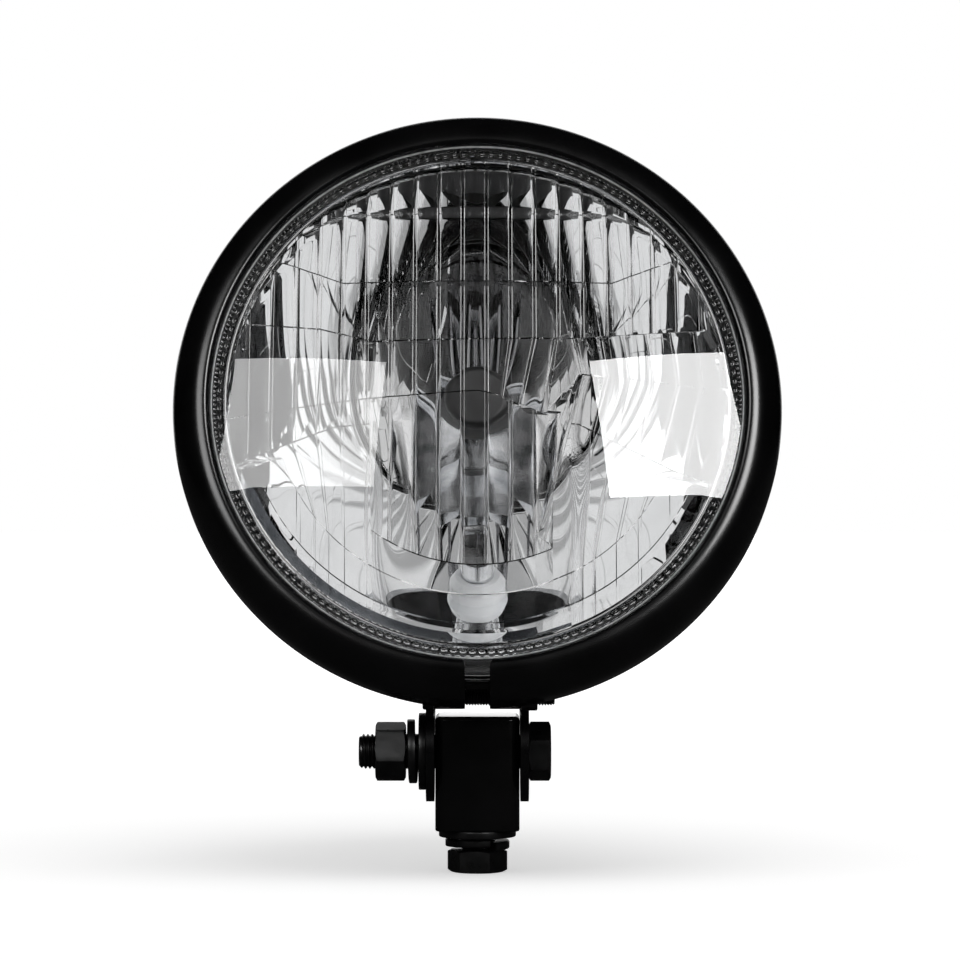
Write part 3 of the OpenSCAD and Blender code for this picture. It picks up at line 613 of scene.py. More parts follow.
# Border behind the glass: a ridge, round beads and finer teeth, each with its radius, width and height, and the
# radii of the rings of points that shape them
beading = {
    "thinner": 0.15, "ridgeR": 67.55, "ridgeWide": 0.3, "ridgeHigh": 0.45, "beadR": 69.1, "beadWide": 0.42,
    "beadHigh": 0.6, "toothR": 70.45, "toothWide": 0.5, "toothHigh": 0.5,
    "rings": [67.1, 67.25, 67.4, 67.55, 67.7, 67.85, 68.0, 68.5, 68.7, 68.85, 69.1, 69.35, 69.55, 69.8, 70.0, 70.2,
              70.45, 70.7, 70.95, lens["opticR"]],
}


def borderDepth(r, degrees):
    turn = degrees / 360 * lens["teeth"]
    teeth = 0.5 + 0.5 * math.cos(2 * math.pi * turn)
    beads = 0.5 + 0.5 * math.cos(math.pi * turn)
    outer = math.exp(-((r - beading["toothR"]) / beading["toothWide"]) ** 4)
    inner = math.exp(-((r - beading["beadR"]) / beading["beadWide"]) ** 4)
    ridge = math.exp(-((r - beading["ridgeR"]) / beading["ridgeWide"]) ** 2)
    depth = lens["wall"] - beading["thinner"] + beading["toothHigh"] * teeth * outer
    return depth + beading["beadHigh"] * beads * inner + beading["ridgeHigh"] * ridge


def zipped(inner, outer, verts):
    # Triangles between two rings of points, walked by their angle round the axis
    def angle(i):
        return math.atan2(verts[i][1], verts[i][0]) % (2 * math.pi)
    inner = sorted(inner, key=angle)
    outer = sorted(outer, key=angle)
    faces = []
    i = j = 0
    while i < len(inner) or j < len(outer):
        nextInner = angle(inner[(i + 1) % len(inner)]) + 2 * math.pi * ((i + 1) // len(inner))
        nextOuter = angle(outer[(j + 1) % len(outer)]) + 2 * math.pi * ((j + 1) // len(outer))
        a, b = inner[i % len(inner)], outer[j % len(outer)]
        if j >= len(outer) or (i < len(inner) and nextInner <= nextOuter):
            faces.append((a, b, inner[(i + 1) % len(inner)]))
            i += 1
        else:
            faces.append((a, b, outer[(j + 1) % len(outer)]))
            j += 1
    return faces


def lensShape():
    verts = []
    faces = []
    columns = lensColumns()
    for x, high in columns:
        top, bottom, rows = lensRows(x)
        for share, band, part in rows:
            y = blendOf(top, bottom, share)
            widest = math.sqrt(lens["gridR"] ** 2 - y * y)
            placeX = limited(x + sideShift(x, y, band, part), -widest, widest)
            back = lens["wall"] + fluteAmount(x, band) * high
            back += lens["step"] * part * (0.5 if band % 2 == 0 else 1)
            r = math.hypot(placeX, y)
            back += lens["bevel"] * limited((r - lens["bevelR"]) / (lens["gridR"] - lens["bevelR"]), 0, 1)
            verts.append((placeX, y, domeZ(r) - back))
    cols = len(columns)
    rowCount = len(verts) // cols
    for i in range(cols - 1):
        for j in range(rowCount - 1):
            a = i * rowCount + j
            faces.append((a, a + rowCount, a + rowCount + 1, a + 1))
    edge = [i * rowCount for i in range(cols)] + [i * rowCount + rowCount - 1 for i in range(cols)]
    edge += list(range(1, rowCount - 1)) + list(range((cols - 1) * rowCount + 1, cols * rowCount - 1))

    def ringOf(r, zOf, count):
        start = len(verts)
        for k in range(count):
            degrees = 360 * k / count
            verts.append((*polar(r, degrees), zOf(degrees)))
        return list(range(start, start + count))

    def bridge(first, second):
        for k in range(len(first)):
            n = (k + 1) % len(first)
            faces.append((first[k], second[k], second[n], first[n]))

    # Beaded border on the back
    fine = 4 * lens["teeth"]
    last = None
    for r in beading["rings"]:
        ring = ringOf(r, lambda a, r=r: domeZ(r) - borderDepth(r, a), fine)
        if last is None:
            faces.extend(zipped(edge, ring, verts))
        else:
            bridge(last, ring)
        last = ring
    # Skirt, rounded outer edge, shoulder inside the lip and dome
    lip, out, brim = rim["lipR"], lens["outerR"], lens["edge"]
    shoulderR = lip - lens["shoulder"]
    coarse = lens["teeth"]
    sides = [(lens["opticR"] + 0.15, domeZ(lens["opticR"]) - lens["wall"] - 0.3),
             (lens["opticR"] + 0.4, lens["skirtRear"]), (out, lens["skirtRear"]), (out, brim - 1.2)]
    sides += arcPoints((out - 0.9, brim - 1.2), 0.9, 20, 85, 5)
    sides += [(lip + 0.25, brim - 0.85), (lip, brim - 0.8), (lip - 0.2, brim - 0.68), (lip - 0.4, brim - 0.42),
              (lip - 0.55, brim - 0.12)]
    sides += [(shoulderR * (1 - k / 13), domeZ(shoulderR * (1 - k / 13))) for k in range(13)]
    for r, z in sides:
        ring = ringOf(r, lambda a, z=z: z, coarse)
        if len(last) != len(ring):
            faces.extend(zipped(last, ring, verts))
        else:
            bridge(last, ring)
        last = ring
    tip = len(verts)
    verts.append((0, 0, domeZ(0)))
    faces.extend((last[k], last[(k + 1) % len(last)], tip) for k in range(len(last)))
    return verts, faces


def paintedLipHighlightShape():
    # Pale matt ring on the shoulder of the glass, inside the lip: a painted highlight that stands in for the bright
    # line round the lip
    out, top = rim["lipR"] - 0.04, lens["edge"]
    return revolved(rounded([
        (out - 0.4, top - 0.7, 0.05), (out, top - 0.9, 0.05), (out, top - 0.1, 0.12),
        (out - 0.4, top - 0.16, 0.12)], 3), 300)


lensPiece = addPiece("frontGlass", lensShape(), lampPlace, "head", finish["pressedGlass"],
                     ["lens"], 28)
# Pale ring inside the lip: a painted highlight, the bright line round the glass
addPiece("glassEdge", paintedLipHighlightShape(), lampPlace, "head", finish["groundGlass"], (), 40)
print("glass made:", len(lensPiece.data.polygons), "faces")


# Bowl, with its step, its flange and the hole for the parking light
bowl = {
    "focal": 23.2, "edgeR": 67.5, "seatR": 20.4, "sheet": 1.4, "flangeR": halfWidth("reflector"), "flangeRear": 0.6,
    "flangeFront": 1.6, "step": 2.0, "parkR": 47.0, "holderR": 7.9, "seatOut": 72.3,
}
bowlApex = bowl["flangeFront"] + bowl["step"] - bowl["edgeR"] ** 2 / (4 * bowl["focal"])


def bowlZ(r):
    return bowlApex + r * r / (4 * bowl["focal"])


def bowlShape():
    steps = 110
    radii = [blendOf(bowl["seatR"], bowl["edgeR"], i / steps) for i in range(steps + 1)]
    edge, flange, front, rear = bowl["edgeR"], bowl["flangeR"], bowl["flangeFront"], bowl["flangeRear"]
    top = bowlZ(edge)
    outline = [(r, bowlZ(r)) for r in radii]
    outline += [(edge + 0.5, top + 0.1), (edge + 1.0, top - 0.2), (edge + 1.3, top - 0.7), (edge + 1.3, front + 0.3),
                (edge + 1.6, front), (bowl["seatOut"], front), (flange - 0.2, front), (flange, front - 0.3),
                (flange, rear + 0.2), (flange - 0.2, rear), (edge + 0.8, rear), (edge, rear - 0.4)]
    outline += [(r, bowlZ(r) - bowl["sheet"]) for r in reversed(radii[:-1])]
    return revolved(outline, 240)


parkLean = math.atan(bowl["parkR"] / (2 * bowl["focal"]))
parkPlace = lampPlace @ Matrix.Translation((0, -bowl["parkR"], bowlZ(bowl["parkR"]))) @ Matrix.Rotation(
    -parkLean, 4, "X")
bowlPiece = addPiece("mirrorBowl", bowlShape(), lampPlace, "head", finish["bowlMirror"],
                     ["reflector"], 40)
cutFrom(bowlPiece, rod(bowl["holderR"], -6, 6), parkPlace, 40)
# The seat of the glass round the bowl is painted, not silvered
bowlPiece.data.materials.append(finish["blackSatin"])
toLamp = (toMetres @ lampPlace).inverted()
for face in bowlPiece.data.polygons:
    middle = toLamp @ face.center
    if bowl["edgeR"] + 1.2 < math.hypot(middle.x, middle.y) < bowl["seatOut"]:
        face.material_index = 1
print("bowl made")


# Shell, with holes for the grommet and the rivets
shell = {"beadR": 1.8, "beadZ": -1.2, "wall": 1.2, "back": 92.013, "full": 1.512, "grommetTurn": 60,
         "grommetHole": 5.5, "rivetX": 6.5, "rivetHole": 2.3, "rivetZ": (-19.0, -42.0)}
shellDepth = shell["back"] + shell["beadZ"]
shellSkin = 0.02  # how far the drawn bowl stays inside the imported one


def shellPoint(degrees, r, depth):
    return r * math.cos(math.radians(degrees)), shell["beadZ"] - depth * math.sin(math.radians(degrees)) ** (
        2 / shell["full"])


def shellRadius(z):
    share = ((shell["beadZ"] - z) / shellDepth) ** (shell["full"] / 2)
    return shellR * math.sqrt(1 - share ** 2)


def shellShape():
    steps = 90
    wall = shell["wall"]
    outer = [shellPoint(90 * (i / steps) ** 1.15, shellR - shellSkin, shellDepth - shellSkin)
             for i in range(1, steps + 1)]
    inner = [shellPoint(90 * (1 - i / steps), shellR - wall, shellDepth - wall) for i in range(steps)]
    turn = math.degrees(math.acos((wall - shell["beadR"]) / shell["beadR"]))
    bead = arcPoints((halfWidth("reflector"), shell["beadZ"]), shell["beadR"] - shellSkin, 180, -turn, 24)
    return revolved(outer + inner + bead, 240)


grommetAt = shellPoint(shell["grommetTurn"], shellR - shell["wall"] / 2, shellDepth - shell["wall"] / 2)
grommetTurn = math.atan2(
    shellR * math.sin(math.radians(shell["grommetTurn"])),
    shellDepth * 2 / shell["full"] * math.sin(math.radians(shell["grommetTurn"])) ** (2 / shell["full"] - 1)
    * math.cos(math.radians(shell["grommetTurn"])))
grommetPlace = lampPlace @ Matrix.Translation((0, -grommetAt[0], grommetAt[1])) @ Matrix.Rotation(
    math.pi / 2 + grommetTurn, 4, "X")
shellPiece = addPiece("bowlShell", shellShape(), lampPlace, "head", finish["blackGloss"],
                      ["shell"], 40)
cutFrom(shellPiece, rod(shell["grommetHole"], -7, 7), grommetPlace, 40)
for rivetZ in shell["rivetZ"]:
    slope = math.atan(shellRadius(rivetZ + 0.5) - shellRadius(rivetZ - 0.5))
    for side in (-1, 1):
        turn = side * math.asin(shell["rivetX"] / shellRadius(rivetZ))
        rivetPlace = lampPlace @ Matrix.Rotation(turn, 4, "Z") @ Matrix.Translation(
            (0, -shellRadius(rivetZ), rivetZ)) @ Matrix.Rotation(math.pi / 2 + slope, 4, "X")
        cutFrom(shellPiece, rod(shell["rivetHole"], -4, 4, 40), rivetPlace, 40)

grommet = {"boreR": 3.0, "length": 7.0, "flange": 2.0}


def grommetShape():
    hole, half, wall = shell["grommetHole"], grommet["length"] / 2, shell["wall"] / 2 + 0.5
    return revolved(rounded([
        (grommet["boreR"], -half, 0.4), (hole + 1.6, -half, 0.8), (hole + grommet["flange"], -half + 1.2, 0.5),
        (hole + grommet["flange"], -wall, 0.4), (hole - 0.1, -wall, 0.1), (hole - 0.1, wall, 0.1),
        (hole + grommet["flange"], wall, 0.4), (hole + 1.4, wall + 1.2, 0.8),
        (grommet["boreR"] + 1.4, half, 0.7), (grommet["boreR"], half, 0.3)]), 96)


addPiece("cableGrommet", grommetShape(), grommetPlace, "head", finish["blackRubber"],
         ["cable_grommet"])
print("shell made")


# Main bulb: clear glass with a painted tip
bulb = {"r": 8.6, "wall": 1.0, "gap": 4.7, "seatDepth": 5.0, "base": 5.2, "neck": 9.0, "tipR": 2.0, "paint": 11.5,
        "paintSkin": 0.08, "ribs": 1.7}
bulbSeat = bowlZ(bowl["seatR"]) - bulb["seatDepth"]
bulbLength = lens["edge"] + lens["dome"] - lens["wall"] - bulb["ribs"] - bulb["gap"] - bulbSeat
bulbPlace = lampPlace @ raised(bulbSeat)


def bulbSide(r, tip, length):
    # Outside or inside of the bulb, from its base to the middle of the tip
    side = [(r - 2.2, bulb["base"]), (r - 1.9, bulb["neck"] - 2), (r - 1.2, bulb["neck"]), (r - 0.4, bulb["neck"] + 2),
            (r, bulb["neck"] + 5)]
    side += arcPoints((r - tip, length - tip), tip, 0, 90, 12)
    return side + [(0, length)]


def bulbShape():
    outside = bulbSide(bulb["r"], bulb["tipR"], bulbLength)
    inside = bulbSide(bulb["r"] - bulb["wall"], bulb["tipR"] - 0.6, bulbLength - bulb["wall"])
    return revolved(outside + inside[::-1], 96)


def paintShape():
    low = bulbLength - bulb["paint"]
    skin = bulb["paintSkin"]
    outside = [(bulb["r"] + skin, low)] + arcPoints(
        (bulb["r"] - bulb["tipR"], bulbLength - bulb["tipR"]), bulb["tipR"] + skin, 0, 90, 12)
    inside = [(bulb["r"] + 0.01, low)] + arcPoints(
        (bulb["r"] - bulb["tipR"], bulbLength - bulb["tipR"]), bulb["tipR"] + 0.01, 0, 90, 12)
    return revolved(outside + [(0, bulbLength + skin), (0, bulbLength + 0.01)] + inside[::-1], 96)


addPiece("bulbGlass", bulbShape(), bulbPlace, "head", finish["bulbClear"], ["bulb_glass"], 40)
addPiece("bulbTipPaint", paintShape(), bulbPlace, "head", finish["tipPaint"], (), 40)

# Parking light in its pale holder
park = {"bulbR": 4.4, "wall": 0.5, "tip": 21.4, "cap": 10.4, "holderR": 7.8, "inside": 5.0, "back": 13.0, "root": 5.0}


def parkGlassShape():
    r, wall = park["bulbR"], park["wall"]
    outside = [(r - 0.6, park["cap"]), (r, park["cap"] + 2)] + arcPoints((0, park["tip"] - r), r, 0, 90, 20)
    inside = [(r - 0.6 - wall, park["cap"]), (r - wall, park["cap"] + 2)]
    inside += arcPoints((0, park["tip"] - r), r - wall, 0, 90, 20)
    return revolved(outside + inside[::-1], 72)


def parkHolderShape():
    r, bore = park["holderR"], park["bulbR"] - 0.25
    return revolved(rounded([
        (bore, -park["root"], 0), (bore, park["inside"], 0.5), (r - 1.6, park["inside"], 0.4),
        (r, park["inside"] - 2.2, 0.8), (r, -park["root"] + 1, 0.1), (r + 1.4, -park["root"] + 1, 0.3),
        (r + 1.4, -park["root"] - 1, 0.3), (r - 1.2, -park["root"] - 1, 0.2), (r - 1.2, -park["back"], 0.5),
        (0, -park["back"], 0), (0, -park["root"], 0)]), 96)


addPiece("parkGlass", parkGlassShape(), parkPlace, "head", finish["thinGlass"], ["parking_bulb"], 40)
addPiece("parkHolder", parkHolderShape(), parkPlace, "head", finish["paleMoulding"],
         ["parking_holder"], 40)
print("bulbs made")


# Fasteners: chamfered hexagons, threads, washers
def hexShape(flats, height, chamfer, bore=0.0):
    steps = 72
    corner = flats / 2 / math.cos(math.pi / 6)
    flatTop = corner - chamfer

    def ring(reach, z, drop):
        points = []
        for k in range(steps):
            a = 360 * k / steps
            hexR = flats / 2 / math.cos(math.radians((a + 30) % 60 - 30))
            hexR = min(hexR, corner - 0.12)
            r = min(reach, hexR) if reach else hexR
            points.append((*polar(r, a + 30), z + drop * max(0, hexR - flatTop) * 0.5))
        return points

    def flat(r, z):
        return [(*polar(r, 360 * k / steps + 30), z) for k in range(steps)]
    loops = [ring(flatTop - 0.15, 0, 0), ring(flatTop, 0.06, 0), ring(0, 0.08, 1), ring(0, height - 0.08, -1),
             ring(flatTop, height - 0.06, 0), ring(flatTop - 0.15, height, 0)]
    if not bore:
        return stacked(loops)
    loops = [flat(bore, 0.5), flat(bore + 0.5, 0)] + loops + [flat(bore + 0.5, height), flat(bore, height - 0.5)]
    verts, faces = stacked(loops)
    last = len(verts) - steps
    faces = faces[2:] + [(k, last + k, last + (k + 1) % steps, (k + 1) % steps) for k in range(steps)]
    return verts, faces


def threadShape(r, start, end, pitch, depth, chamfer):
    # Screw thread from start to end, with a chamfer at its end
    steps = 48
    section = [(0.0, 0.0), (0.08, 0.0), (0.46, 1.0), (0.54, 1.0), (0.92, 0.0)]  # shares of the pitch and the depth
    turns = int((end - start) / pitch) + 3
    verts = []
    faces = []
    for i in range(turns * steps + 1):
        for share, low in section:
            z = limited(start + pitch * (i / steps + share - 1.5), start, end)
            radius = min(r - depth * low, r - chamfer + (end - z))
            verts.append((*polar(radius, 360 * i / steps), z))
    count = len(section)

    def spot(i, j):
        return (i + steps) * count if j == count else i * count + j
    for i in range((turns - 1) * steps):
        for j in range(count):
            faces.append((spot(i, j), spot(i + 1, j), spot(i + 1, j + 1), spot(i, j + 1)))
    return verts, faces


def capped(shape):
    # Joins double points, in millimetres here, and closes what is open
    verts, faces = shape
    build = bmesh.new()
    made = [build.verts.new(v) for v in verts]
    for face in faces:
        build.faces.new([made[i] for i in face])
    bmesh.ops.remove_doubles(build, verts=build.verts, dist=0.0005)
    bmesh.ops.dissolve_degenerate(build, edges=build.edges, dist=0.0004)
    bmesh.ops.holes_fill(build, edges=build.edges, sides=0)
    build.verts.index_update()
    out = [tuple(v.co) for v in build.verts], [tuple(v.index for v in face.verts) for face in build.faces]
    build.free()
    return out


bolts = {
    "boltR": 4.75, "flats": 14.3, "headHeight": 6.0, "nutHeight": 8.2, "tail": 4.5, "washerR": 10.45,
    "washer": 2.0, "washerEdge": 0.3, "springR": 8.7, "spring": 2.2, "springRise": 1.1, "springCut": 6,
    "boltIn": 13.0, "chamfer": 1.0, "pitch": 1.15, "threadDepth": 0.62, "slip": 0.1, "bore": 4.8,
    "springBore": 4.95, "earOut": 13.9, "crossHeadTurn": 20, "crossSpringTurn": 120, "mountHeadTurn": 54,
    "mountSpringTurn": -60,
}


def washerShape():
    inner, outer, height, edge = bolts["springBore"], bolts["washerR"], bolts["washer"], bolts["washerEdge"]
    return revolved(rounded([(inner, 0, edge / 2), (outer, 0, edge), (outer, height, edge),
                             (inner, height, edge / 2)], 4), 128)


def springShape():
    # Split ring, whose end stands higher than its start
    steps = 110
    inner, outer, height = bolts["springBore"], bolts["springR"], bolts["spring"]
    section = rounded([(inner, 0, 0.2), (outer, 0, 0.35), (outer, height, 0.35), (inner, height, 0.2)], 3)
    loops = []
    for i in range(steps + 1):
        a = blendOf(bolts["springCut"], 360 - bolts["springCut"], i / steps)
        loops.append([(*polar(r, a), z + bolts["springRise"] * i / steps) for r, z in section])
    return stacked(loops)


def headShape():
    return hexShape(bolts["flats"], bolts["headHeight"], bolts["chamfer"])


def addFastener(name, shape, place, body, node, sharp=35):
    return addPiece(name, shape, place, body, finish["blackSatin"], [node], sharp)


turned = Matrix.Rotation(math.pi, 4, "X")
crossPlace = headPlace @ across
seat = bolts["earOut"] + 0.01
springAt = seat + bolts["washer"] + bolts["slip"]
nutAt = springAt + bolts["spring"] + bolts["springRise"] + bolts["slip"]
boltEnd = nutAt + bolts["nutHeight"] + bolts["tail"]
nutEnd = nutAt + bolts["nutHeight"]


def crossBoltShape():
    head = moved(headShape(), raised(seat) @ spun(bolts["crossHeadTurn"]))
    shank = moved(rod(bolts["boltR"], -seat - 0.5, nutAt), turned)
    thread = moved(capped(threadShape(bolts["boltR"], nutAt, boltEnd, bolts["pitch"], bolts["threadDepth"], 0.9)),
                   turned)
    return joined(head, shank, thread)


addFastener("crossBolt", crossBoltShape(), crossPlace, "head", "cross_bolt", 30)
addFastener("crossNut", hexShape(bolts["flats"], bolts["nutHeight"], bolts["chamfer"], bolts["bore"]),
            crossPlace @ raised(-nutEnd), "head", "cross_nut", 30)
addFastener("crossFlatWasher", washerShape(), crossPlace @ raised(-seat - bolts["washer"]), "head",
            "cross_flat_washer")
addFastener("crossSpringWasher", springShape(), crossPlace @ raised(-springAt - bolts["spring"] - bolts["springRise"])
            @ spun(bolts["crossSpringTurn"]), "head", "cross_lock_washer")

lowSpring = bolts["washer"] + bolts["slip"]
lowHead = lowSpring + bolts["spring"] + bolts["springRise"] + bolts["slip"]


def mountBoltShape():
    head = moved(headShape(), raised(-lowHead - bolts["headHeight"]) @ spun(bolts["mountHeadTurn"]))
    thread = capped(threadShape(bolts["boltR"], -lowHead - 0.5, bolts["boltIn"], bolts["pitch"],
                                bolts["threadDepth"], 0.9))
    return joined(head, thread)


ground = Matrix.Identity(4)
addFastener("mountBolt", mountBoltShape(), ground, "mount", "mount_bolt", 30)
addFastener("mountFlatWasher", washerShape(), raised(-bolts["washer"] - 0.01), "mount", "mount_flat_washer")
addFastener("mountSpringWasher", springShape(), raised(-lowSpring - bolts["spring"] - bolts["springRise"])
            @ spun(bolts["mountSpringTurn"]), "mount", "mount_lock_washer")

clamp = {"r": 2.4, "headR": 3.5, "headHeight": 3.0, "nutHeight": 4.4, "nutFlats": 7.0, "tail": 4.6, "pitch": 0.75,
         "threadDepth": 0.4, "slotWidth": 1.2, "slotDepth": 1.4}
clampPlace = lampPlace @ Matrix.Translation((0, -rim["screwAxis"], rim["lugMid"])) @ across
lugOut = rim["gap"] / 2 + rim["lugWidth"]
screwEnd = lugOut + clamp["nutHeight"] + clamp["tail"]


def clampScrewShape():
    head = revolved(rounded([(0, 0, 0), (clamp["headR"], 0, 0.5), (clamp["headR"], clamp["headHeight"], 0.15),
                             (0, clamp["headHeight"], 0)]), 72)
    head = moved(head, raised(-lugOut - clamp["headHeight"]))
    thread = capped(threadShape(clamp["r"], -lugOut - 0.3, screwEnd, clamp["pitch"], clamp["threadDepth"], 0.5))
    return joined(head, thread)


for lugSide in (-1, 1):
    hole = rod(rim["screwR"], -0.6, rim["lugWidth"] + 0.6, 48)
    cutFrom(rimPiece, moved(hole, raised(rim["gap"] / 2 - 0.2 if lugSide > 0 else -lugOut - 0.2)), clampPlace, 30)
screwPiece = addFastener("clampScrew", clampScrewShape(), clampPlace, "head", "rim_screw", 30)
slotBlock = roundedBlock(3 * clamp["headR"], clamp["slotWidth"], -clamp["slotDepth"], clamp["slotDepth"], 0.1, 0.1)
cutFrom(screwPiece, slotBlock, clampPlace @ raised(-lugOut - clamp["headHeight"]), 30)
addFastener("clampNut", hexShape(clamp["nutFlats"], clamp["nutHeight"], 0.5, clamp["r"] + 0.05),
            clampPlace @ raised(lugOut), "head", "rim_nut", 30)
print("fasteners made")


# Swivel block
block = {"width": 22.7, "depth": 20.0, "top": 10.0, "corner": 3.0, "edge": 1.2, "lowEdge": 0.5}
blockShape = roundedBlock(block["width"], block["depth"], 0, pivotRise + block["top"], block["corner"],
                          block["edge"], 6, block["lowEdge"])
blockPiece = addPiece("swivelBlock", blockShape, ground, "mount", finish["blackGloss"],
                      ["swivel_block"], 30)
cutFrom(blockPiece, rod(bolts["bore"], -30, 30), raised(pivotRise) @ across, 30)
cutFrom(blockPiece, rod(bolts["bore"], -5, bolts["boltIn"] + 1), ground, 30)
print("block made")


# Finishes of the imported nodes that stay
keptNodes = {
    "mount_bracket": "blackGloss", "bracket_rivets": "blackSatin", "lens_seal": "blackRubber",
    "bulb_holder_ring": "platedSteel", "bulb_shield": "shieldMetal", "bulb_filaments": "filamentMetal",
    "bulb_base": "platedSteel", "bulb_insulator": "footMoulding", "bulb_terminals": "yellowBrass",
    "bulb_clip": "platedSteel", "dust_boot": "blackRubber", "parking_bulb_base": "platedSteel",
}
for node in nodes.values():
    wanted = finish[keptNodes.get(node.name, "blackSatin")]
    if not node.data.materials:
        node.data.materials.append(wanted)
    for slotIndex in range(len(node.material_slots)):
        node.material_slots[slotIndex].material = wanted


# Studio: pale floor and backdrop, dark room in front, soft boxes on both sides and overhead
floor = {"height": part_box("mount_bolt")[0].z, "half": 6.0, "pale": 0.82, "glow": 0.48, "nearR": 0.35, "farR": 0.9,
         "mirrorDim": 0.95}


def floorMaterial():
    material, tree = newMaterial("paleFloor")
    camera = tree.add("ShaderNodeLightPath", {}, {}, "Is Camera Ray")
    distance = tree.add("ShaderNodeVectorMath", {"operation": "LENGTH"}, {0: tree.spot()}, "Value")
    far = tree.add("ShaderNodeMapRange", {}, {
        "Value": distance, "From Min": floor["nearR"], "From Max": floor["farR"]})
    glow = tree.add("ShaderNodeEmission", {}, {"Color": (1, 1, 1, 1), "Strength": camera * (
        floor["glow"] + (1.0 - floor["glow"]) * far)})
    speckle = tree.ramp(tree.noise(30), [(0.3, grey(floor["pale"] - 0.01)), (0.7, grey(floor["pale"]))])
    glossy = tree.add("ShaderNodeLightPath", {}, {}, "Is Glossy Ray")
    through = tree.add("ShaderNodeLightPath", {}, {}, "Is Transmission Ray")
    seen = tree.add("ShaderNodeMix", {"data_type": "RGBA"}, {
        0: (glossy + through) * floor["mirrorDim"], 6: speckle, 7: (0, 0, 0, 1)}, 2)
    pale = tree.add("ShaderNodeBsdfDiffuse", {}, {"Color": seen})
    tree.surface(tree.add("ShaderNodeAddShader", {}, {0: glow, 1: pale}))
    return material


def floorPiece():
    half = floor["half"]
    mesh = bpy.data.meshes.new("floor")
    mesh.from_pydata([(-half, -half, floor["height"]), (half, -half, floor["height"]),
                      (half, half, floor["height"]), (-half, half, floor["height"])], [], [(0, 1, 2, 3)])
    mesh.materials.append(floorMaterial())
    piece = bpy.data.objects.new("floor", mesh)
    bpy.context.scene.collection.objects.link(piece)


floorPiece()

# What rays from the glass and the bowl see. Each pair is where a region starts and is full, by the sideways,
# forward or upward share of the direction: pale cards low on both sides of the dark middle, pale walls over them,
# a dim ceiling, pale outer sides, and the backdrop behind the lamp
room = {
    "fill": 0.45, "mirrorTurns": (1.2, 1.8), "behind": (0.85, 0.98), "backdrop": 1.8,
    "cardGap": (0.05, 0.09), "cardEnd": (0.6, 0.7), "cardLow": (-0.42, -0.36), "cardHigh": (0.06, 0.14),
    "card": 0.95, "wallGap": (0.035, 0.045), "wall": 0.5, "whiteGap": (0.16, 0.20), "white": 0.45,
    "wallEnd": (0.6, 0.7), "sideFrom": (0.6, 0.7), "sideLow": (-0.5, -0.3), "side": 0.75,
    "ceilingFrom": (0.90, 0.96), "ceiling": 0.3,
}


def studioWorld():
    world = bpy.data.worlds.new("studio")
    bpy.context.scene.world = world
    world.use_nodes = True
    tree = Tree(world.node_tree)
    ray = {}
    for name in ("Is Camera Ray", "Is Glossy Ray", "Is Transmission Ray", "Glossy Depth"):
        ray[name] = tree.add("ShaderNodeLightPath", {}, {}, name)
    direction = tree.add("ShaderNodeTexCoord", {}, {}, "Generated")
    toward = {axis: tree.add("ShaderNodeSeparateXYZ", {}, {0: direction}, axis) for axis in "XYZ"}
    sideways = tree.add("ShaderNodeMath", {"operation": "ABSOLUTE"}, {0: toward["X"]})

    def past(value, edge):
        return tree.add("ShaderNodeMapRange", {}, {
            "Value": value, "From Min": room[edge][0], "From Max": room[edge][1]})
    behind = past(toward["Y"], "behind") * room["backdrop"]
    high = past(toward["Z"], "cardHigh")
    cards = past(sideways, "cardGap") * (1 - past(sideways, "cardEnd")) * past(toward["Z"], "cardLow")
    cards = cards * (1 - high) * room["card"]
    walls = past(sideways, "wallGap") * room["wall"] + past(sideways, "whiteGap") * room["white"]
    walls = walls * (1 - past(sideways, "wallEnd")) * high
    ceiling = past(toward["Z"], "ceilingFrom") * room["ceiling"]
    sides = past(sideways, "sideFrom") * past(toward["Z"], "sideLow") * room["side"]
    # Only rays that were reflected twice on their way out through the glass see the cards, walls and ceiling
    reflected = past(ray["Glossy Depth"], "mirrorTurns")
    through = (cards + walls + ceiling) * reflected + sides + behind
    mirrored = ray["Is Glossy Ray"] * behind + ray["Is Transmission Ray"] * through
    plain = (1 - ray["Is Glossy Ray"]) * (1 - ray["Is Transmission Ray"]) * room["fill"]
    strength = ray["Is Camera Ray"] + (1 - ray["Is Camera Ray"]) * (mirrored + plain)
    back = tree.add("ShaderNodeBackground", {}, {"Color": (1, 1, 1, 1), "Strength": strength})
    tree.add("ShaderNodeOutputWorld", {}, {"Surface": back})


studioWorld()

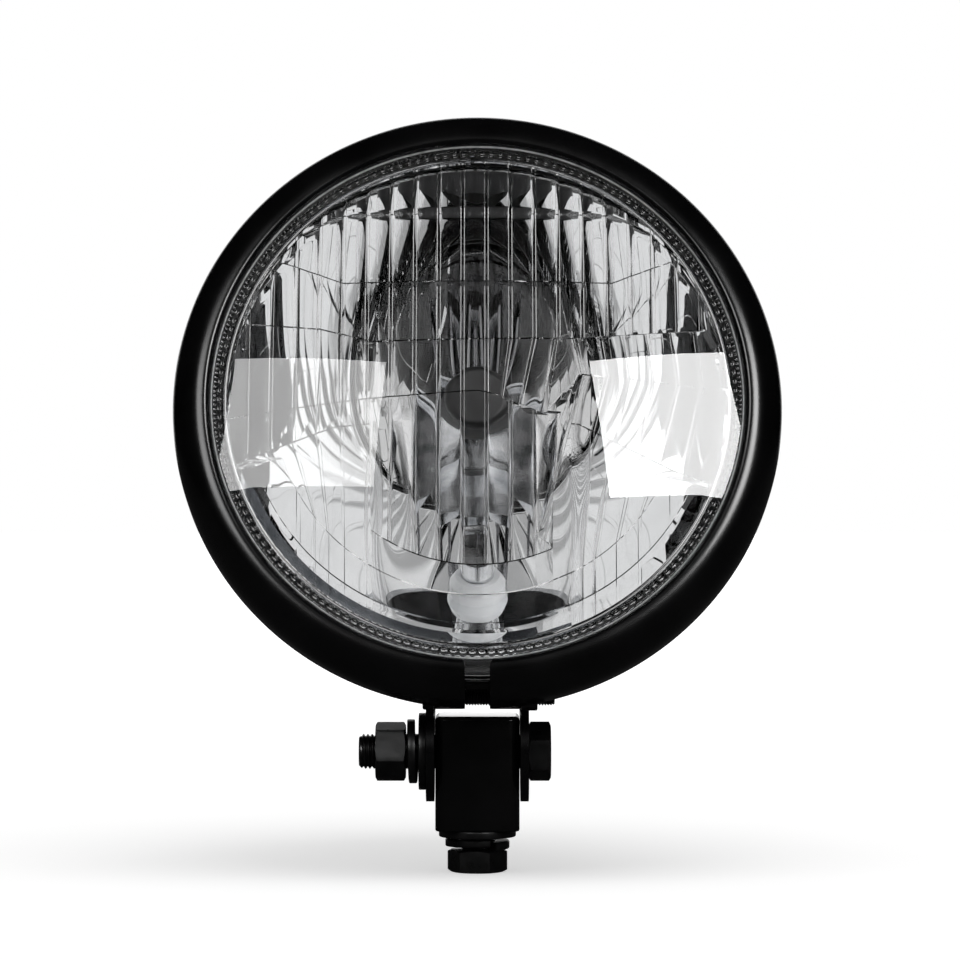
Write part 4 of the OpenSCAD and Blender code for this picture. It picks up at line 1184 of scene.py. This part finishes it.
# Soft boxes: turn round the lamp, height over it and roll in degrees, distance and size in metres, brightness,
# and the kind of ray that each is hidden from
softBoxes = {
    "leftBox": {"turn": -24.7, "rise": 25.9, "roll": 4, "away": 1.5, "width": 0.51, "height": 0.44, "glow": 8.0,
                "hidden": "visible_diffuse"},
    "rightBox": {"turn": 26.8, "rise": 25.4, "roll": -2, "away": 1.5, "width": 0.45, "height": 0.48, "glow": 17.0,
                 "hidden": "visible_diffuse"},
    "topBox": {"turn": 32, "rise": 75, "roll": 0, "away": 1.4, "width": 1.2, "height": 0.9, "glow": 2.0,
               "hidden": "visible_glossy"},
}
lampCentre = toMetres @ lampPlace @ Vector((0, 0, 0))


def addSoftBox(name, values):
    turn, rise = math.radians(values["turn"]), math.radians(values["rise"])
    toward = Vector((math.sin(turn) * math.cos(rise), -math.cos(turn) * math.cos(rise), math.sin(rise)))
    light = bpy.data.lights.new(name, "AREA")
    light.shape = "RECTANGLE"
    light.size = values["width"]
    light.size_y = values["height"]
    light.energy = values["glow"] * math.pi * values["width"] * values["height"]
    box = bpy.data.objects.new(name, light)
    box.location = lampCentre + toward * values["away"]
    face = toward.to_track_quat("Z", "Y").to_matrix() @ Matrix.Rotation(math.radians(values["roll"]), 3, "Z")
    box.rotation_euler = face.to_euler()
    box.visible_camera = False
    box.visible_transmission = False
    setattr(box, values["hidden"], False)
    bpy.context.scene.collection.objects.link(box)


for boxName, boxValues in softBoxes.items():
    addSoftBox(boxName, boxValues)

view = {"place": (0.0007, -0.950, 0.0946), "focal": 131.25, "sensor": 36.0, "near": 0.01, "far": 50,
        "glossyBounces": 8, "transmissionBounces": 12}
cameraData = bpy.data.cameras.new("camera")
cameraData.lens = view["focal"]
cameraData.sensor_width = view["sensor"]
cameraData.clip_start = view["near"]
cameraData.clip_end = view["far"]
camera = bpy.data.objects.new("camera", cameraData)
camera.location = view["place"]
camera.rotation_euler = (math.pi / 2, 0, 0)
bpy.context.scene.collection.objects.link(camera)
bpy.context.scene.camera = camera
bpy.context.scene.view_settings.view_transform = "Standard"
bpy.context.scene.cycles.glossy_bounces = view["glossyBounces"]
bpy.context.scene.cycles.transmission_bounces = view["transmissionBounces"]
print("studio made")
